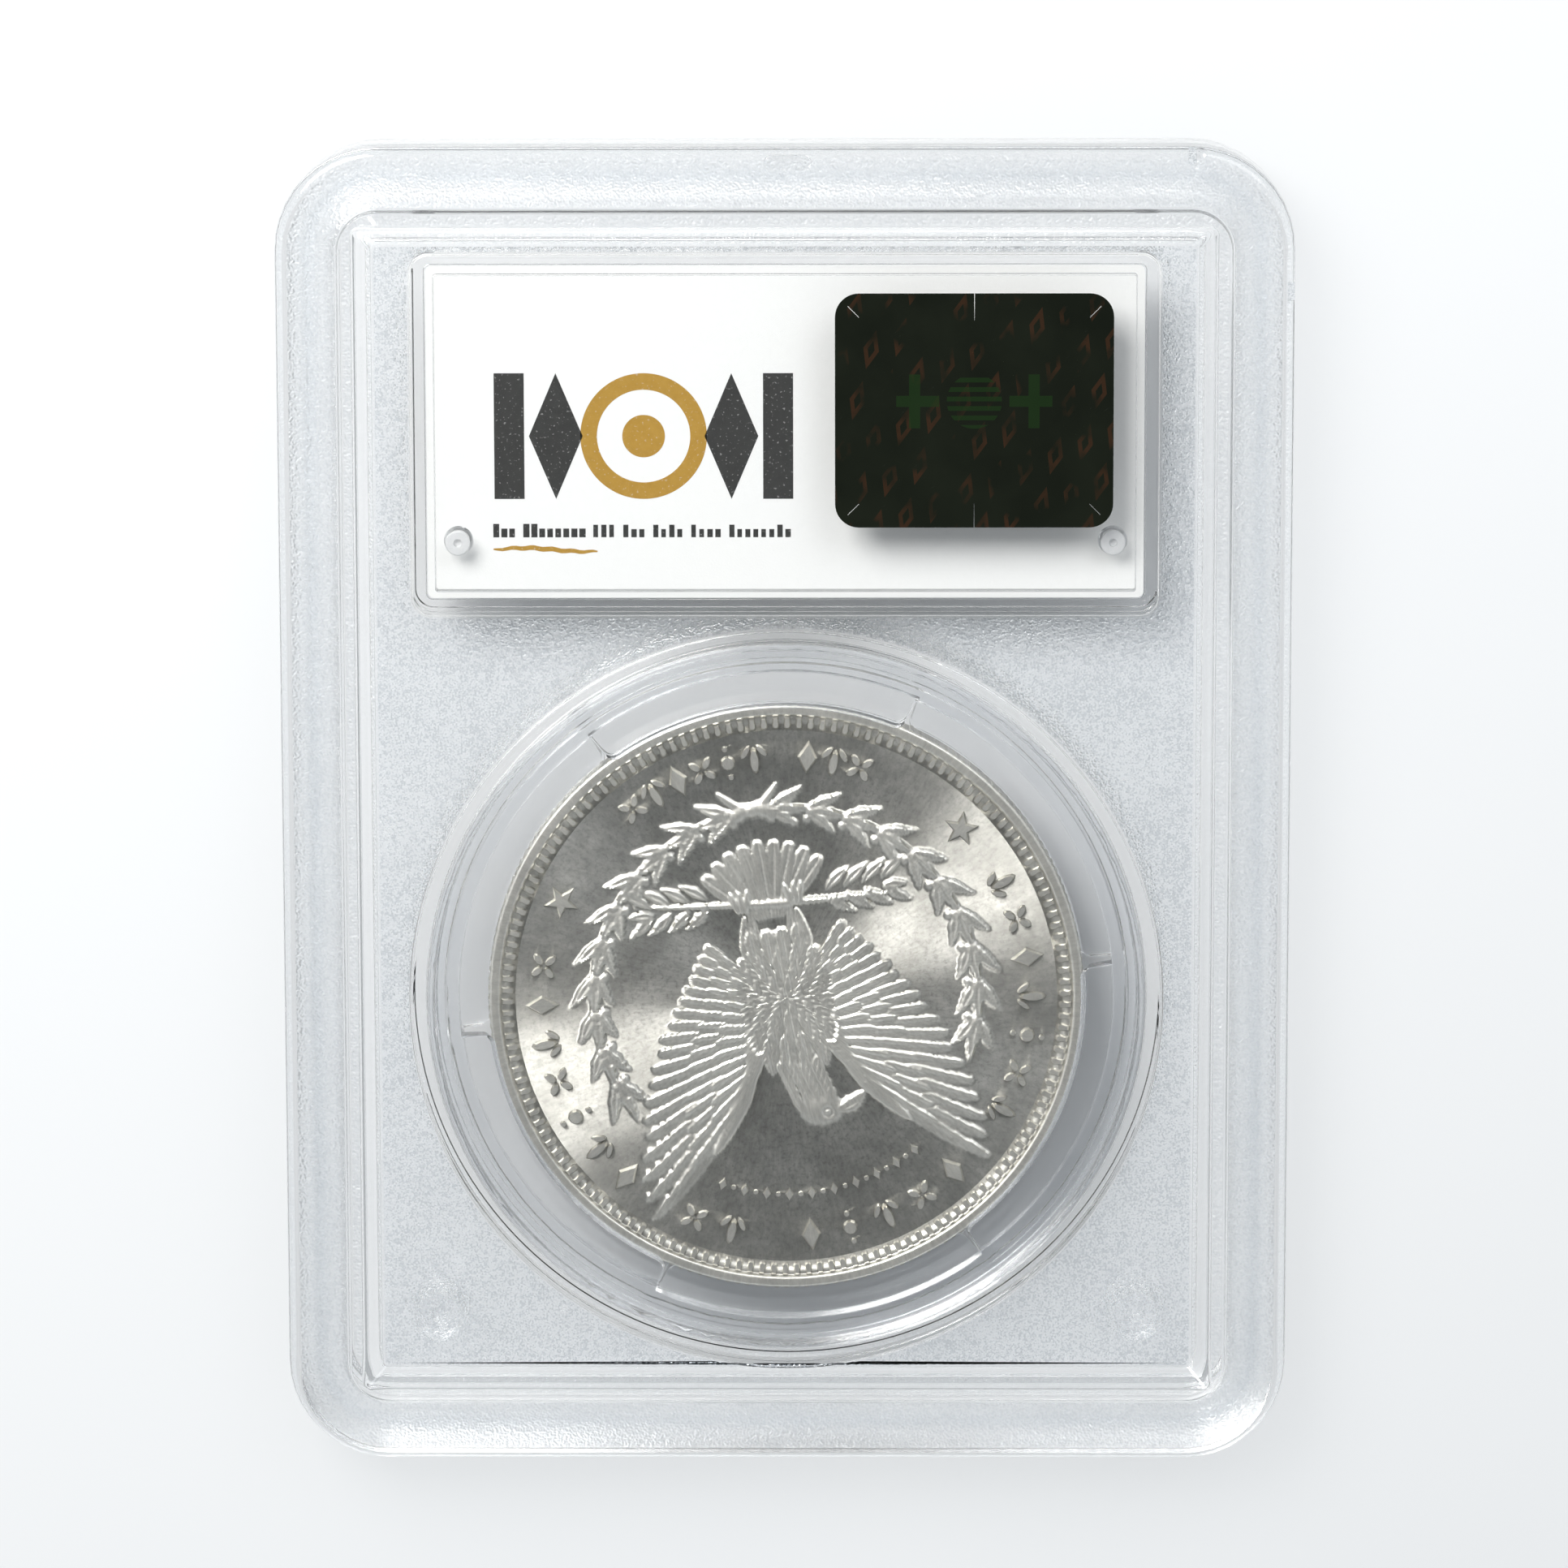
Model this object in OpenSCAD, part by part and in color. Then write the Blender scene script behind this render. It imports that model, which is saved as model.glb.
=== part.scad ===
// Graded coin slab: a silver-dollar-size coin sealed between two clear shells.
// The slab lies on its front face. +Z is out of the back face, +Y is towards the label end,
// and the origin is under the middle of the slab, on the surface that it rests on.
// All sizes are in millimetres.

/* [Slab] */
// Width of the slab
slab_w = 64; // [63:0.5:70]
// Length of the slab
slab_l = 84.5; // [84.5:0.5:92]
// Thickness over the front rim and the back ridge
slab_t = 8; // [8:0.1:10]
// Radius of the slab's four corners
corner_r = 6.5; // [6.2:0.1:6.9]
// Height of the front rim, and of the back ridge, which nest when slabs are stacked
nest_h = 0.9; // [0.6:0.05:1]
// Thickness of each window
window_t = 1.5; // [1.2:0.1:1.6]

/* [Coin] */
// Diameter of the coin
coin_d = 38.1; // [30:0.1:38.5]
// Thickness of the coin at its rim
coin_t = 2.4; // [1.6:0.1:2.4]
// Distance from the middle of the slab down to the middle of the coin
coin_drop = 12.2; // [12:0.1:12.4]

/* [Coin rings] */
// Width of a ring half, from its bore to its outside
ring_band = 2; // [1.8:0.1:2.2]
// Angle that each of the three tabs on a ring half spans
tab_angle = 59; // [40:1:59]
// Angle of the first tab of the back ring
first_tab_angle = 96.5; // [60:0.5:120]

/* [Label] */
// Width of the label card
label_w = 45.3; // [40:0.1:45.3]
// Height of the label card
label_l = 21.1; // [18:0.1:21.1]
// Thickness of the label card
label_t = 0.3; // [0.2:0.05:0.4]
// Distance from the middle of the slab up to the middle of the label
label_rise = 24.1; // [24:0.1:24.5]

/* [Security sticker] */
// Width of the sticker
sticker_w = 17.5; // [12:0.1:18]
// Height of the sticker
sticker_l = 14.8; // [10:0.1:16]
// Middle of the sticker, to the right of the middle of the slab
sticker_x = 11.9; // [10:0.1:13]
// Middle of the sticker, up from the middle of the slab
sticker_y = 25.7; // [23:0.1:27]

/* [Hidden] */
$fn = 96;

// Colours
clear_plastic = [0.86, 0.9, 0.93, 0.35];
ring_plastic = [0.8, 0.84, 0.88, 0.5];
silver = [0.72, 0.72, 0.7];
card_white = [0.97, 0.97, 0.95];
sticker_green = [0.06, 0.09, 0.06];

// Heights. The two shells meet at seam_z.
eps = 0.01;
window_step = 0.2;                            // the windows stand this proud of the frosted floors
front_window_z = nest_h + 0.05;
front_floor_z = front_window_z + window_step;
front_inner_z = front_window_z + window_t;
back_window_z = slab_t - nest_h;
back_floor_z = back_window_z - window_step;
back_inner_z = back_window_z - window_t;
seam_z = (front_inner_z + back_inner_z) / 2;

// Distances inwards from the slab's outline
edge_round = 0.8;
rim_top_in = 3.3;                             // inner edge of the front rim's foot
rim_slope_in = 3.8;                           // where the front rim's slope meets the floor
ridge_out = 3.9;                              // outer side of the back ridge
ridge_draft = 0.1;
slope_top_in = 4.9;                           // top of the slope inside the back ridge
slope_foot_in = 6.1;                          // where that slope meets the floor
frame_in = 6.1;                               // inner end of the swept frame
wall_in = 3.4;                                // inner face of the side wall
tongue_in = 1.65;                             // outer face of the weld tongue
tongue_w = 0.7;
groove_gap = 0.05;
tongue_h = 0.55;
groove_depth = 0.8;
seam_chamfer = 0.12;

// Coin well
coin_r = coin_d / 2;
coin_z = seam_z - coin_t / 2;
ring_fit = 0.1;                               // gap between the rings and the wall round them
well_r = 23;
well_wall = 1;
window_r = well_r + well_wall;
coin_fit = 0.05;                              // running clearance round the coin
ring_end_gap = 0.05;
ring_r = well_r - ring_fit;
ring_bore_r = ring_r - ring_band;
tab_bore_r = coin_r + coin_fit;
tab_round = 0.7;
lip_w = 0.3;
ring_groove = [21.7, 22.5, 0.25];             // inner radius, outer radius and depth

// Label well
label_fit = 0.1;
label_wall = 0.8;
label_ledge = 0.6;
label_well_w = label_w + 2 * label_fit;
label_well_l = label_l + 2 * label_fit;
label_well_round = 0.4;
post_x = label_w / 2 - 1.95;
post_below_label = label_l / 2 - 3.6;
post_r = 0.8;
post_hole_r = 0.93;
post_dimple_r = 0.25;
post_dimple_depth = 0.3;

// Locating pins in the two lower corners
pin_x = 22.4;
pin_y = -33.1;
pin_r = 0.6;
pin_fit = 0.05;
pin_boss_r = 1.5;
pin_reach = 1.1;
socket_depth = 1.3;

// Moulding marks on the back shell
gate_pos = [0.2, slab_l / 2 - 0.95];
gate_len = 3;
gate_w = 1;
gate_h = 0.15;
notch_w = 0.5;
notch_l = 1.15;
notch_depth = 0.5;

// Coin relief
field_r = coin_r - 1.15;
field_depth = 0.3;
relief_h = 0.2;
leaf_count = 9;
leaf_l = 3.4;
leaf_w = 1.1;
wreath_r = 12.6;
star_r = 6;

sticker_t = 0.06;
sticker_round = 1.5;

// ---------------------------------------------------------------- shapes that repeat

// A flat rectangle with true round corners, centred on the origin
module rounded_rect(w, l, r) {
    square([w - 2 * r, l], center = true);
    square([w, l - 2 * r], center = true);
    for (x = [-1, 1], y = [-1, 1])
        translate([x * (w / 2 - r), y * (l / 2 - r)]) circle(r);
}

// A plate between two heights
module plate(w, l, r, z0, z1) {
    translate([0, 0, z0]) linear_extrude(z1 - z0) rounded_rect(w, l, r);
}

// Takes the sharp corner at p off a profile. away turns the cut to face out of the material.
module round_cut(p, r, away) {
    out = [cos(away + 45) > 0 ? 1 : -1, sin(away + 45) > 0 ? 1 : -1];
    translate(p - r * out) rotate(away) difference() {
        square(r + eps);
        circle(r);
    }
}

// Sweeps a profile round the slab's outline. In the profile x is the distance in from the
// outline and y is the height.
module swept_frame() {
    for (side = [0, 180]) rotate(side) {
        translate([slab_w / 2, -(slab_l / 2 - corner_r), 0]) rotate([90, 0, 180])
            linear_extrude(slab_l - 2 * corner_r) children();
        translate([slab_w / 2 - corner_r, slab_l / 2, 0]) rotate([90, 0, 270])
            linear_extrude(slab_w - 2 * corner_r) children();
    }
    for (x = [0, 1], y = [0, 1]) mirror([x, 0, 0]) mirror([0, y, 0])
        translate([slab_w / 2 - corner_r, slab_l / 2 - corner_r, 0])
            rotate_extrude(angle = 90) intersection() {
                translate([corner_r, 0]) mirror([1, 0]) children();
                translate([0, -1]) square([corner_r, slab_t + 2]);
            }
}

// A round wall with its axis on the coin's
module coin_ring(r_in, r_out, z0, z1) {
    translate([0, -coin_drop, z0]) linear_extrude(z1 - z0) difference() {
        circle(r_out);
        circle(r_in);
    }
}

// The wall round the label, with the ledge that the card's edge is held by
module label_wall(z0, z1, ledge_z0, ledge_z1) {
    translate([0, label_rise, 0]) {
        difference() {
            plate(label_well_w + 2 * label_wall, label_well_l + 2 * label_wall,
                  label_well_round + label_wall, z0, z1);
            plate(label_well_w, label_well_l, label_well_round, z0 - 1, z1 + 1);
        }
        difference() {
            plate(label_well_w, label_well_l, label_well_round, ledge_z0, ledge_z1);
            plate(label_well_w - 2 * label_ledge, label_well_l - 2 * label_ledge,
                  label_well_round / 2, ledge_z0 - 1, ledge_z1 + 1);
        }
    }
}

// The raised, polished areas of a face, over the label and over the coin
module windows(z0, z1) {
    translate([0, label_rise, 0])
        plate(label_well_w + 2 * label_wall, label_well_l + 2 * label_wall,
              label_well_round + label_wall, z0, z1);
    translate([0, -coin_drop, z0]) cylinder(r = window_r, h = z1 - z0);
}

module at_posts() {
    for (x = [-1, 1]) translate([x * post_x, label_rise - post_below_label, 0]) children();
}

module at_pins() {
    for (x = [-1, 1]) translate([x * pin_x, pin_y, 0]) children();
}

// ---------------------------------------------------------------- shells

module front_profile() {
    difference() {
        polygon([[0, seam_z - seam_chamfer], [seam_chamfer, seam_z], [wall_in, seam_z],
                 [wall_in, front_inner_z], [frame_in, front_inner_z],
                 [frame_in, front_floor_z], [rim_slope_in, front_floor_z],
                 [rim_top_in, 0], [0, 0]]);
        round_cut([0, 0], edge_round, 180);
        translate([tongue_in - groove_gap, seam_z - groove_depth])
            square([tongue_w + 2 * groove_gap, groove_depth + eps]);
    }
}

module back_profile() {
    difference() {
        union() {
            polygon([[0, seam_z + seam_chamfer], [0, back_window_z],
                     [ridge_out, back_window_z], [ridge_out + ridge_draft, slab_t],
                     [frame_in, slab_t], [frame_in, back_inner_z],
                     [wall_in, back_inner_z], [wall_in, seam_z], [seam_chamfer, seam_z]]);
            translate([tongue_in, seam_z - tongue_h]) square([tongue_w, tongue_h + eps]);
        }
        round_cut([0, back_window_z], edge_round, 90);
    }
}

module front_shell() {
    color(clear_plastic) {
        difference() {
            union() {
                swept_frame() front_profile();
                translate([0, 0, (front_floor_z + front_inner_z) / 2])
                    cube([slab_w - 2 * frame_in, slab_l - 2 * frame_in,
                          front_inner_z - front_floor_z], center = true);
                windows(front_window_z, front_floor_z + eps);
                coin_ring(well_r, window_r, front_inner_z - eps, seam_z);
                label_wall(front_inner_z - eps, seam_z,
                           front_inner_z - eps, seam_z - label_t / 2);
                at_posts() translate([0, 0, front_inner_z - eps])
                    cylinder(r = post_r, h = back_inner_z - front_inner_z - 0.1 + eps);
                at_pins() translate([0, 0, front_inner_z - eps])
                    cylinder(r = pin_boss_r, h = seam_z - front_inner_z + eps);
            }
            at_posts() translate([0, 0, back_inner_z - 0.1 - post_dimple_depth])
                cylinder(r = post_dimple_r, h = 1);
            at_pins() translate([0, 0, seam_z - socket_depth])
                cylinder(r = pin_r + pin_fit, h = 2);
        }
    }
}

// The space inside the back ridge: two troughs crossing, so that its slopes meet in mitres
module ridge_recess() {
    rise = slab_t - back_floor_z;
    lean = (slope_foot_in - slope_top_in) / rise;
    intersection() {
        for_length(slab_l) trough(slab_w / 2, rise, lean);
        rotate(90) for_length(slab_w) trough(slab_l / 2, rise, lean);
    }
}

// One trough's section, with its floor at the back floor's height
module trough(half, rise, lean) {
    foot = half - slope_foot_in;
    top = foot + lean * (rise + 1);
    translate([0, back_floor_z]) polygon([[-foot, 0], [foot, 0], [top, rise + 1], [-top, rise + 1]]);
}

module for_length(l) {
    rotate([90, 0, 0]) linear_extrude(l, center = true) children();
}

module back_shell() {
    color(clear_plastic) {
        difference() {
            union() {
                difference() {
                    swept_frame() back_profile();
                    ridge_recess();
                }
                translate([0, 0, (back_floor_z + back_inner_z) / 2])
                    cube([slab_w - 2 * frame_in, slab_l - 2 * frame_in,
                          back_floor_z - back_inner_z], center = true);
                windows(back_floor_z - eps, back_window_z);
                coin_ring(well_r, window_r, seam_z, back_inner_z + eps);
                label_wall(seam_z, back_inner_z + eps,
                           seam_z + label_t / 2, back_inner_z + eps);
                at_pins() {
                    translate([0, 0, seam_z])
                        cylinder(r = pin_boss_r, h = back_inner_z - seam_z + eps);
                    translate([0, 0, seam_z - pin_reach])
                        cylinder(r = pin_r, h = pin_reach + eps);
                }
                gate_mark();
            }
            edge_notches();
        }
    }
}

// The scar that the moulding gate leaves in the middle of the label end
module gate_mark() {
    translate([gate_pos[0], gate_pos[1], back_window_z - eps])
        linear_extrude(gate_h + eps) rounded_rect(gate_len, gate_w, gate_w / 2 - eps);
}

// Two small notches in the outer edge, either side of one corner
module edge_notches() {
    corner = [slab_w / 2, slab_l / 2];
    translate([corner[0] - corner_r - notch_w / 2, corner[1] - notch_l, back_window_z - notch_depth])
        cube([notch_w, notch_l + 1, 2]);
    translate([corner[0] - notch_w, corner[1] - corner_r - 2 - notch_l, back_window_z - notch_depth])
        cube([notch_w + 1, notch_l, 2]);
}

// The bead of remelted plastic between the tongue's tip and the groove's floor
module weld_seam() {
    color(clear_plastic) swept_frame()
        translate([tongue_in, seam_z - groove_depth])
            square([tongue_w, groove_depth - tongue_h]);
}

// ---------------------------------------------------------------- coin and its rings

// Outline of one tab, from the ring's band in to the coin
module tab_outline(r_in) {
    half = tab_angle / 2;
    reach = 2 * ring_r;
    difference() {
        intersection() {
            difference() {
                circle(ring_bore_r + eps);
                circle(r_in);
            }
            polygon([[0, 0], [reach * cos(half), reach * sin(half)],
                     [reach * 1.3, 0], [reach * cos(half), -reach * sin(half)]]);
        }
        for (side = [0, 1]) mirror([0, side]) rotate(half) translate([r_in, 0])
            difference() {
                translate([-tab_round, -tab_round]) square([2 * tab_round, 2 * tab_round]);
                translate([tab_round, -tab_round]) circle(tab_round);
                translate([tab_round, -3 * tab_round]) square([tab_round * 2, 6 * tab_round]);
                translate([-2 * tab_round, -3 * tab_round]) square([6 * tab_round, 2 * tab_round]);
            }
    }
}

// One ring half, lying on its seam face. The two halves are the same moulding.
module ring_half() {
    height = back_inner_z - seam_z - ring_end_gap;
    lip_z = coin_t / 2 + coin_fit;
    difference() {
        union() {
            linear_extrude(height) difference() {
                circle(ring_r);
                circle(ring_bore_r);
            }
            for (k = [0:2]) rotate(120 * k) linear_extrude(height) tab_outline(tab_bore_r);
            for (k = [0:2]) rotate(120 * k) translate([0, 0, lip_z])
                linear_extrude(height - lip_z) tab_outline(tab_bore_r - lip_w);
        }
        translate([0, 0, height - ring_groove[2]]) linear_extrude(1) difference() {
            circle(ring_groove[1]);
            circle(ring_groove[0]);
        }
    }
}

module back_coin_ring() {
    color(ring_plastic) translate([0, -coin_drop, seam_z])
        rotate(first_tab_angle) ring_half();
}

// The front half is turned over, and turned round so that its tabs lie between the back half's.
module front_coin_ring() {
    color(ring_plastic) translate([0, -coin_drop, seam_z])
        rotate(first_tab_angle + 60) rotate([180, 0, 0]) ring_half();
}

// A leaf: the overlap of two circles
module leaf(l, w) {
    r = (l * l + w * w) / (4 * w);
    intersection() {
        translate([0, r - w / 2]) circle(r);
        translate([0, w / 2 - r]) circle(r);
    }
}

module star(r) {
    polygon([for (k = [0:9]) let (q = k % 2 ? r * 0.382 : r) [q * sin(36 * k), q * cos(36 * k)]]);
}

// Plain relief that marks out the wreath and the middle device of one face
module face_relief() {
    linear_extrude(relief_h + eps) {
        for (side = [0, 1], k = [0:leaf_count - 1]) mirror([side, 0])
            rotate(-72 + k * 15) translate([wreath_r, 0]) rotate(65) leaf(leaf_l, leaf_w);
        star(star_r);
    }
}

module coin() {
    color(silver) translate([0, -coin_drop, coin_z]) {
        difference() {
            cylinder(r = coin_r, h = coin_t);
            translate([0, 0, coin_t - field_depth]) cylinder(r = field_r, h = 1);
            translate([0, 0, field_depth - 1]) cylinder(r = field_r, h = 1);
        }
        translate([0, 0, coin_t - field_depth - eps]) face_relief();
        translate([0, 0, field_depth + eps]) rotate([180, 0, 0]) face_relief();
    }
}

// ---------------------------------------------------------------- label and sticker

module label_card() {
    color(card_white) difference() {
        translate([0, label_rise, 0])
            plate(label_w, label_l, label_well_round, seam_z - label_t / 2, seam_z + label_t / 2);
        at_posts() translate([0, 0, seam_z - 1]) cylinder(r = post_hole_r, h = 2);
    }
}

module security_sticker() {
    color(sticker_green) translate([sticker_x, sticker_y, 0])
        plate(sticker_w, sticker_l, sticker_round, back_window_z, back_window_z + sticker_t);
}

front_shell();
back_shell();
weld_seam();
front_coin_ring();
back_coin_ring();
coin();
label_card();
security_sticker();
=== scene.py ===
"""Looks of the graded coin slab: clear shells, rings, a struck coin, a label card and a sticker.

Sizes written here are in millimetres, and become metres where a mesh is made.
"""
import math

import bmesh
import bpy
import numpy as np
from mathutils import Matrix, Vector
from mathutils.geometry import delaunay_2d_cdt


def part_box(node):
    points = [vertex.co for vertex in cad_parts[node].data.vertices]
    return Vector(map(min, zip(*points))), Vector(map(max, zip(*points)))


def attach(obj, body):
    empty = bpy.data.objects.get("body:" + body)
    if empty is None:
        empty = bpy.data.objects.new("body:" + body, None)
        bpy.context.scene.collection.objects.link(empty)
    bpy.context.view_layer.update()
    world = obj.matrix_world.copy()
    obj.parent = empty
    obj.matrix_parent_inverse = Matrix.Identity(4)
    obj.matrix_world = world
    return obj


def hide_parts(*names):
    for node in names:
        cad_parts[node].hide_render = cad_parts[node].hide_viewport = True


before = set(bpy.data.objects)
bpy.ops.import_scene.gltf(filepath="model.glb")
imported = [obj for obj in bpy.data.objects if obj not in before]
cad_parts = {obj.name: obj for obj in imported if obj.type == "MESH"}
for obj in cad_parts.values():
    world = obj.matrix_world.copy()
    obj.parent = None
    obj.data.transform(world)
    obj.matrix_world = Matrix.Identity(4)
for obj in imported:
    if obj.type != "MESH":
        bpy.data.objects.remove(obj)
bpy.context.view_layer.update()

MM = 0.001
GAP = 0.01          # air left where two clear pieces touch
SEED = 7


# ---------------------------------------------------------------- sizes from the frame

def span(node):
    """Lowest and highest corner of a node, in millimetres."""
    lo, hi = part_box(node)
    return np.array(lo) / MM, np.array(hi) / MM


SLAB_LO, _ = span("front_shell")
_, SLAB_HI = span("back_shell")
HALF_W = (SLAB_HI[0] - SLAB_LO[0]) / 2
HALF_L = (SLAB_HI[1] - SLAB_LO[1]) / 2
RIDGE_Z = SLAB_HI[2]
COIN_LO, COIN_HI = span("coin")
COIN_R = (COIN_HI[0] - COIN_LO[0]) / 2
COIN_T = COIN_HI[2] - COIN_LO[2]
COIN_Y = (COIN_HI[1] + COIN_LO[1]) / 2
SEAM_Z = (COIN_HI[2] + COIN_LO[2]) / 2
CARD_LO, CARD_HI = span("label_card")
CARD_Y = (CARD_LO[1] + CARD_HI[1]) / 2
CARD_W, CARD_L = CARD_HI[0] - CARD_LO[0], CARD_HI[1] - CARD_LO[1]
STICKER_LO, STICKER_HI = span("security_sticker")
BACK_WINDOW_Z = STICKER_LO[2]
_, RING_HI = span("back_coin_ring")

# The rest repeats the part's own section
CORNER_R = 6.5
NEST_H = RIDGE_Z - BACK_WINDOW_Z
WINDOW_STEP = 0.2
BACK_FLOOR_Z = BACK_WINDOW_Z - WINDOW_STEP
FRONT_WINDOW_Z = NEST_H + 0.05
FRONT_FLOOR_Z = FRONT_WINDOW_Z + WINDOW_STEP
WINDOW_T = 1.5
FRONT_INNER_Z = FRONT_WINDOW_Z + WINDOW_T
BACK_INNER_Z = BACK_WINDOW_Z - WINDOW_T
WALL_IN = 3.4
TONGUE_IN, TONGUE_W, TONGUE_H, GROOVE_DEPTH = 1.65, 0.7, 0.55, 0.8
WELL_R, WINDOW_R = 23.0, 24.0
RING_R = 22.9
RING_BORE_R = RING_R - 2
TAB_R, TAB_HALF_ANGLE, TAB_FILLET = COIN_R + 0.05, math.radians(29.5), 0.7
FIRST_TAB = math.radians(96.5)
WELL_W, WELL_L = CARD_W + 0.2, CARD_L + 0.2
LABEL_WALL, LABEL_LEDGE, CARD_GAP = 0.8, 0.6, 0.15
POST_X, POST_Y = CARD_W / 2 - 1.95, CARD_Y - CARD_L / 2 + 3.6
PIN_X, PIN_Y, PIN_R = 22.4, -33.1, 1.5
EDGE_CHAMFER = 0.12
CLEAR, FROST, GRAIN, EDGE, LIT_POST_END = range(5)      # materials of a shell


# ---------------------------------------------------------------- shader helper

class Sock:
    """A shader value that ordinary arithmetic can be written with."""

    def __init__(self, tree, socket):
        self.tree, self.socket = tree, socket

    def _math(self, op, a, b=0.0):
        node = self.tree.nodes.new("ShaderNodeMath")
        node.operation = op
        plug(self.tree, node.inputs[0], a)
        plug(self.tree, node.inputs[1], b)
        return Sock(self.tree, node.outputs[0])

    def __add__(self, o): return self._math("ADD", self, o)
    def __radd__(self, o): return self._math("ADD", o, self)
    def __sub__(self, o): return self._math("SUBTRACT", self, o)
    def __rsub__(self, o): return self._math("SUBTRACT", o, self)
    def __mul__(self, o): return self._math("MULTIPLY", self, o)
    def __rmul__(self, o): return self._math("MULTIPLY", o, self)
    def __pow__(self, o): return self._math("POWER", self, o)
    def __rpow__(self, o): return self._math("POWER", o, self)
    def __gt__(self, o): return self._math("GREATER_THAN", self, o)
    def __lt__(self, o): return self._math("LESS_THAN", self, o)

    def sin(self): return self._math("SINE", self)

    def size(self): return (self * self) ** 0.5

    def clamp(self):
        out = self + 0.0
        out.socket.node.use_clamp = True
        return out


def plug(tree, slot, value):
    """Puts a link or a plain value into a node's socket."""
    if isinstance(value, Sock):
        tree.links.new(value.socket, slot)
    elif hasattr(slot.default_value, "__len__") and not hasattr(value, "__len__"):
        slot.default_value = [value] * len(slot.default_value)
    elif hasattr(value, "__len__") and len(slot.default_value) == 4 and len(value) == 3:
        slot.default_value = (*value, 1.0)
    else:
        slot.default_value = value


def socket_of(node, key):
    """A node's input: i0 is its first one, and spaces in a name are written as _."""
    if key[0] == "i" and key[1:].isdigit():
        return node.inputs[int(key[1:])]
    return node.inputs[key.replace("_", " ")]


class Shade:
    """One material's tree."""

    def __init__(self, name):
        self.mat = bpy.data.materials.new(name)
        self.mat.use_nodes = True
        self.tree = self.mat.node_tree
        self.tree.nodes.clear()
        self.out = self.tree.nodes.new("ShaderNodeOutputMaterial")

    def add(self, kind, settings=None, out=0, **inputs):
        """Adds any other node: its settings first, with a ramp's stops among them, then its inputs."""
        node = self.tree.nodes.new(kind)
        for key, value in (settings or {}).items():
            if key == "stops":
                set_stops(node.color_ramp, value)
            else:
                setattr(node, key, value)
        for key, value in inputs.items():
            plug(self.tree, socket_of(node, key), value)
        return Sock(self.tree, node.outputs[out])

    def place(self, centre=(0, 0, 0)):
        """Object coordinates in millimetres, from a centre."""
        where = self.add("ShaderNodeTexCoord", out=3)
        return self.add("ShaderNodeMapping", {"vector_type": "POINT"}, Vector=where, Scale=[1 / MM] * 3,
                        Location=[-c for c in centre])

    def noise(self, vector, scale, detail=2.0, rough=0.5):
        return self.add("ShaderNodeTexNoise", Vector=vector, Scale=scale, Detail=detail, Roughness=rough)

    def joined(self, x, y):
        return self.add("ShaderNodeCombineXYZ", X=x, Y=y)

    def axes(self, vector):
        return [self.add("ShaderNodeSeparateXYZ", out=k, Vector=vector) for k in range(3)]

    def math(self, operation, *values):
        inputs = {f"i{k}": value for k, value in enumerate(values)}
        return self.add("ShaderNodeMath", {"operation": operation}, **inputs)

    def ramp(self, value, *stops):
        return self.add("ShaderNodeValToRGB", {"stops": stops}, Fac=value)

    def mix(self, fac, a, b):
        return self.add("ShaderNodeMix", {"data_type": "RGBA"}, out=2, i0=fac, i6=a, i7=b)

    def bump(self, height, distance):
        return self.add("ShaderNodeBump", Height=height, Distance=distance * MM, Strength=1.0)

    def finish(self, **inputs):
        return self.end(self.add("ShaderNodeBsdfPrincipled", **inputs))

    def finish_clear(self, passes, **inputs):
        """Clear plastic that also lets lamps and bounced light straight through to what lies under it."""
        shader = self.add("ShaderNodeBsdfPrincipled", Transmission_Weight=1.0, IOR=PLASTIC_IOR, **inputs)
        for ray in ("Is Shadow Ray", "Is Diffuse Ray"):
            path = self.tree.nodes.new("ShaderNodeLightPath").outputs[ray]
            straight = self.add("ShaderNodeBsdfTransparent", Color=(passes, passes, passes))
            shader = self.add("ShaderNodeMixShader", i0=Sock(self.tree, path), i1=shader, i2=straight)
        return self.end(shader)

    def end(self, shader):
        self.tree.links.new(shader.socket, self.out.inputs["Surface"])
        return self.mat


def set_stops(ramp, stops):
    """Gives a ramp its stops, each a position and a grey tone."""
    while len(ramp.elements) < len(stops):
        ramp.elements.new(0.5)
    for stop, (position, tone) in zip(ramp.elements, stops):
        stop.position, stop.color = position, (tone, tone, tone, 1.0)


# ---------------------------------------------------------------- materials

PLASTIC_IOR = 1.56
FOIL_SLANT = 1.31           # radians


def polished_plastic(name, passes):
    s = Shade(name)
    at = s.place()
    waves = s.noise(at, 0.12, 1.0)
    dust = s.noise(at, 3.0, 4.0)
    return s.finish_clear(passes, Base_Color=s.mix(waves, (0.99, 0.995, 1.0), (1.0, 1.0, 1.0)),
                          Roughness=0.01 + (dust - 0.55).clamp() * 0.12,
                          Normal=s.bump(waves, 0.02))


def frosted_plastic(name, shade, rough, passes, fineness):
    """Moulded grain: fine pitting and sparkles, patchy at a larger scale. shade is the tone of a pit, painted
    darker and bluer than the clear plastic: painted shade.
    """
    s = Shade(name)
    at = s.place()
    fine = s.noise(at, 3.4 * fineness, 1.0, 0.6)
    sharp = s.noise(at, 6.5 * fineness, 0.0)
    patch = s.noise(at, 0.22, 2.0)
    # Painted shade: the grain's pit pattern is painted in the darker shade tone.
    pit_shade = s.ramp(fine * 0.5 + sharp * 0.5 + (patch - 0.5) * 0.15, (0.4, 0.0), (0.56, 1.0))
    return s.finish_clear(passes, Base_Color=s.mix(pit_shade, shade, (0.97, 0.985, 1.0)),
                          Roughness=rough + patch * 0.1, Normal=s.bump(fine * 0.5 + sharp * 0.5, 0.12))


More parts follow.
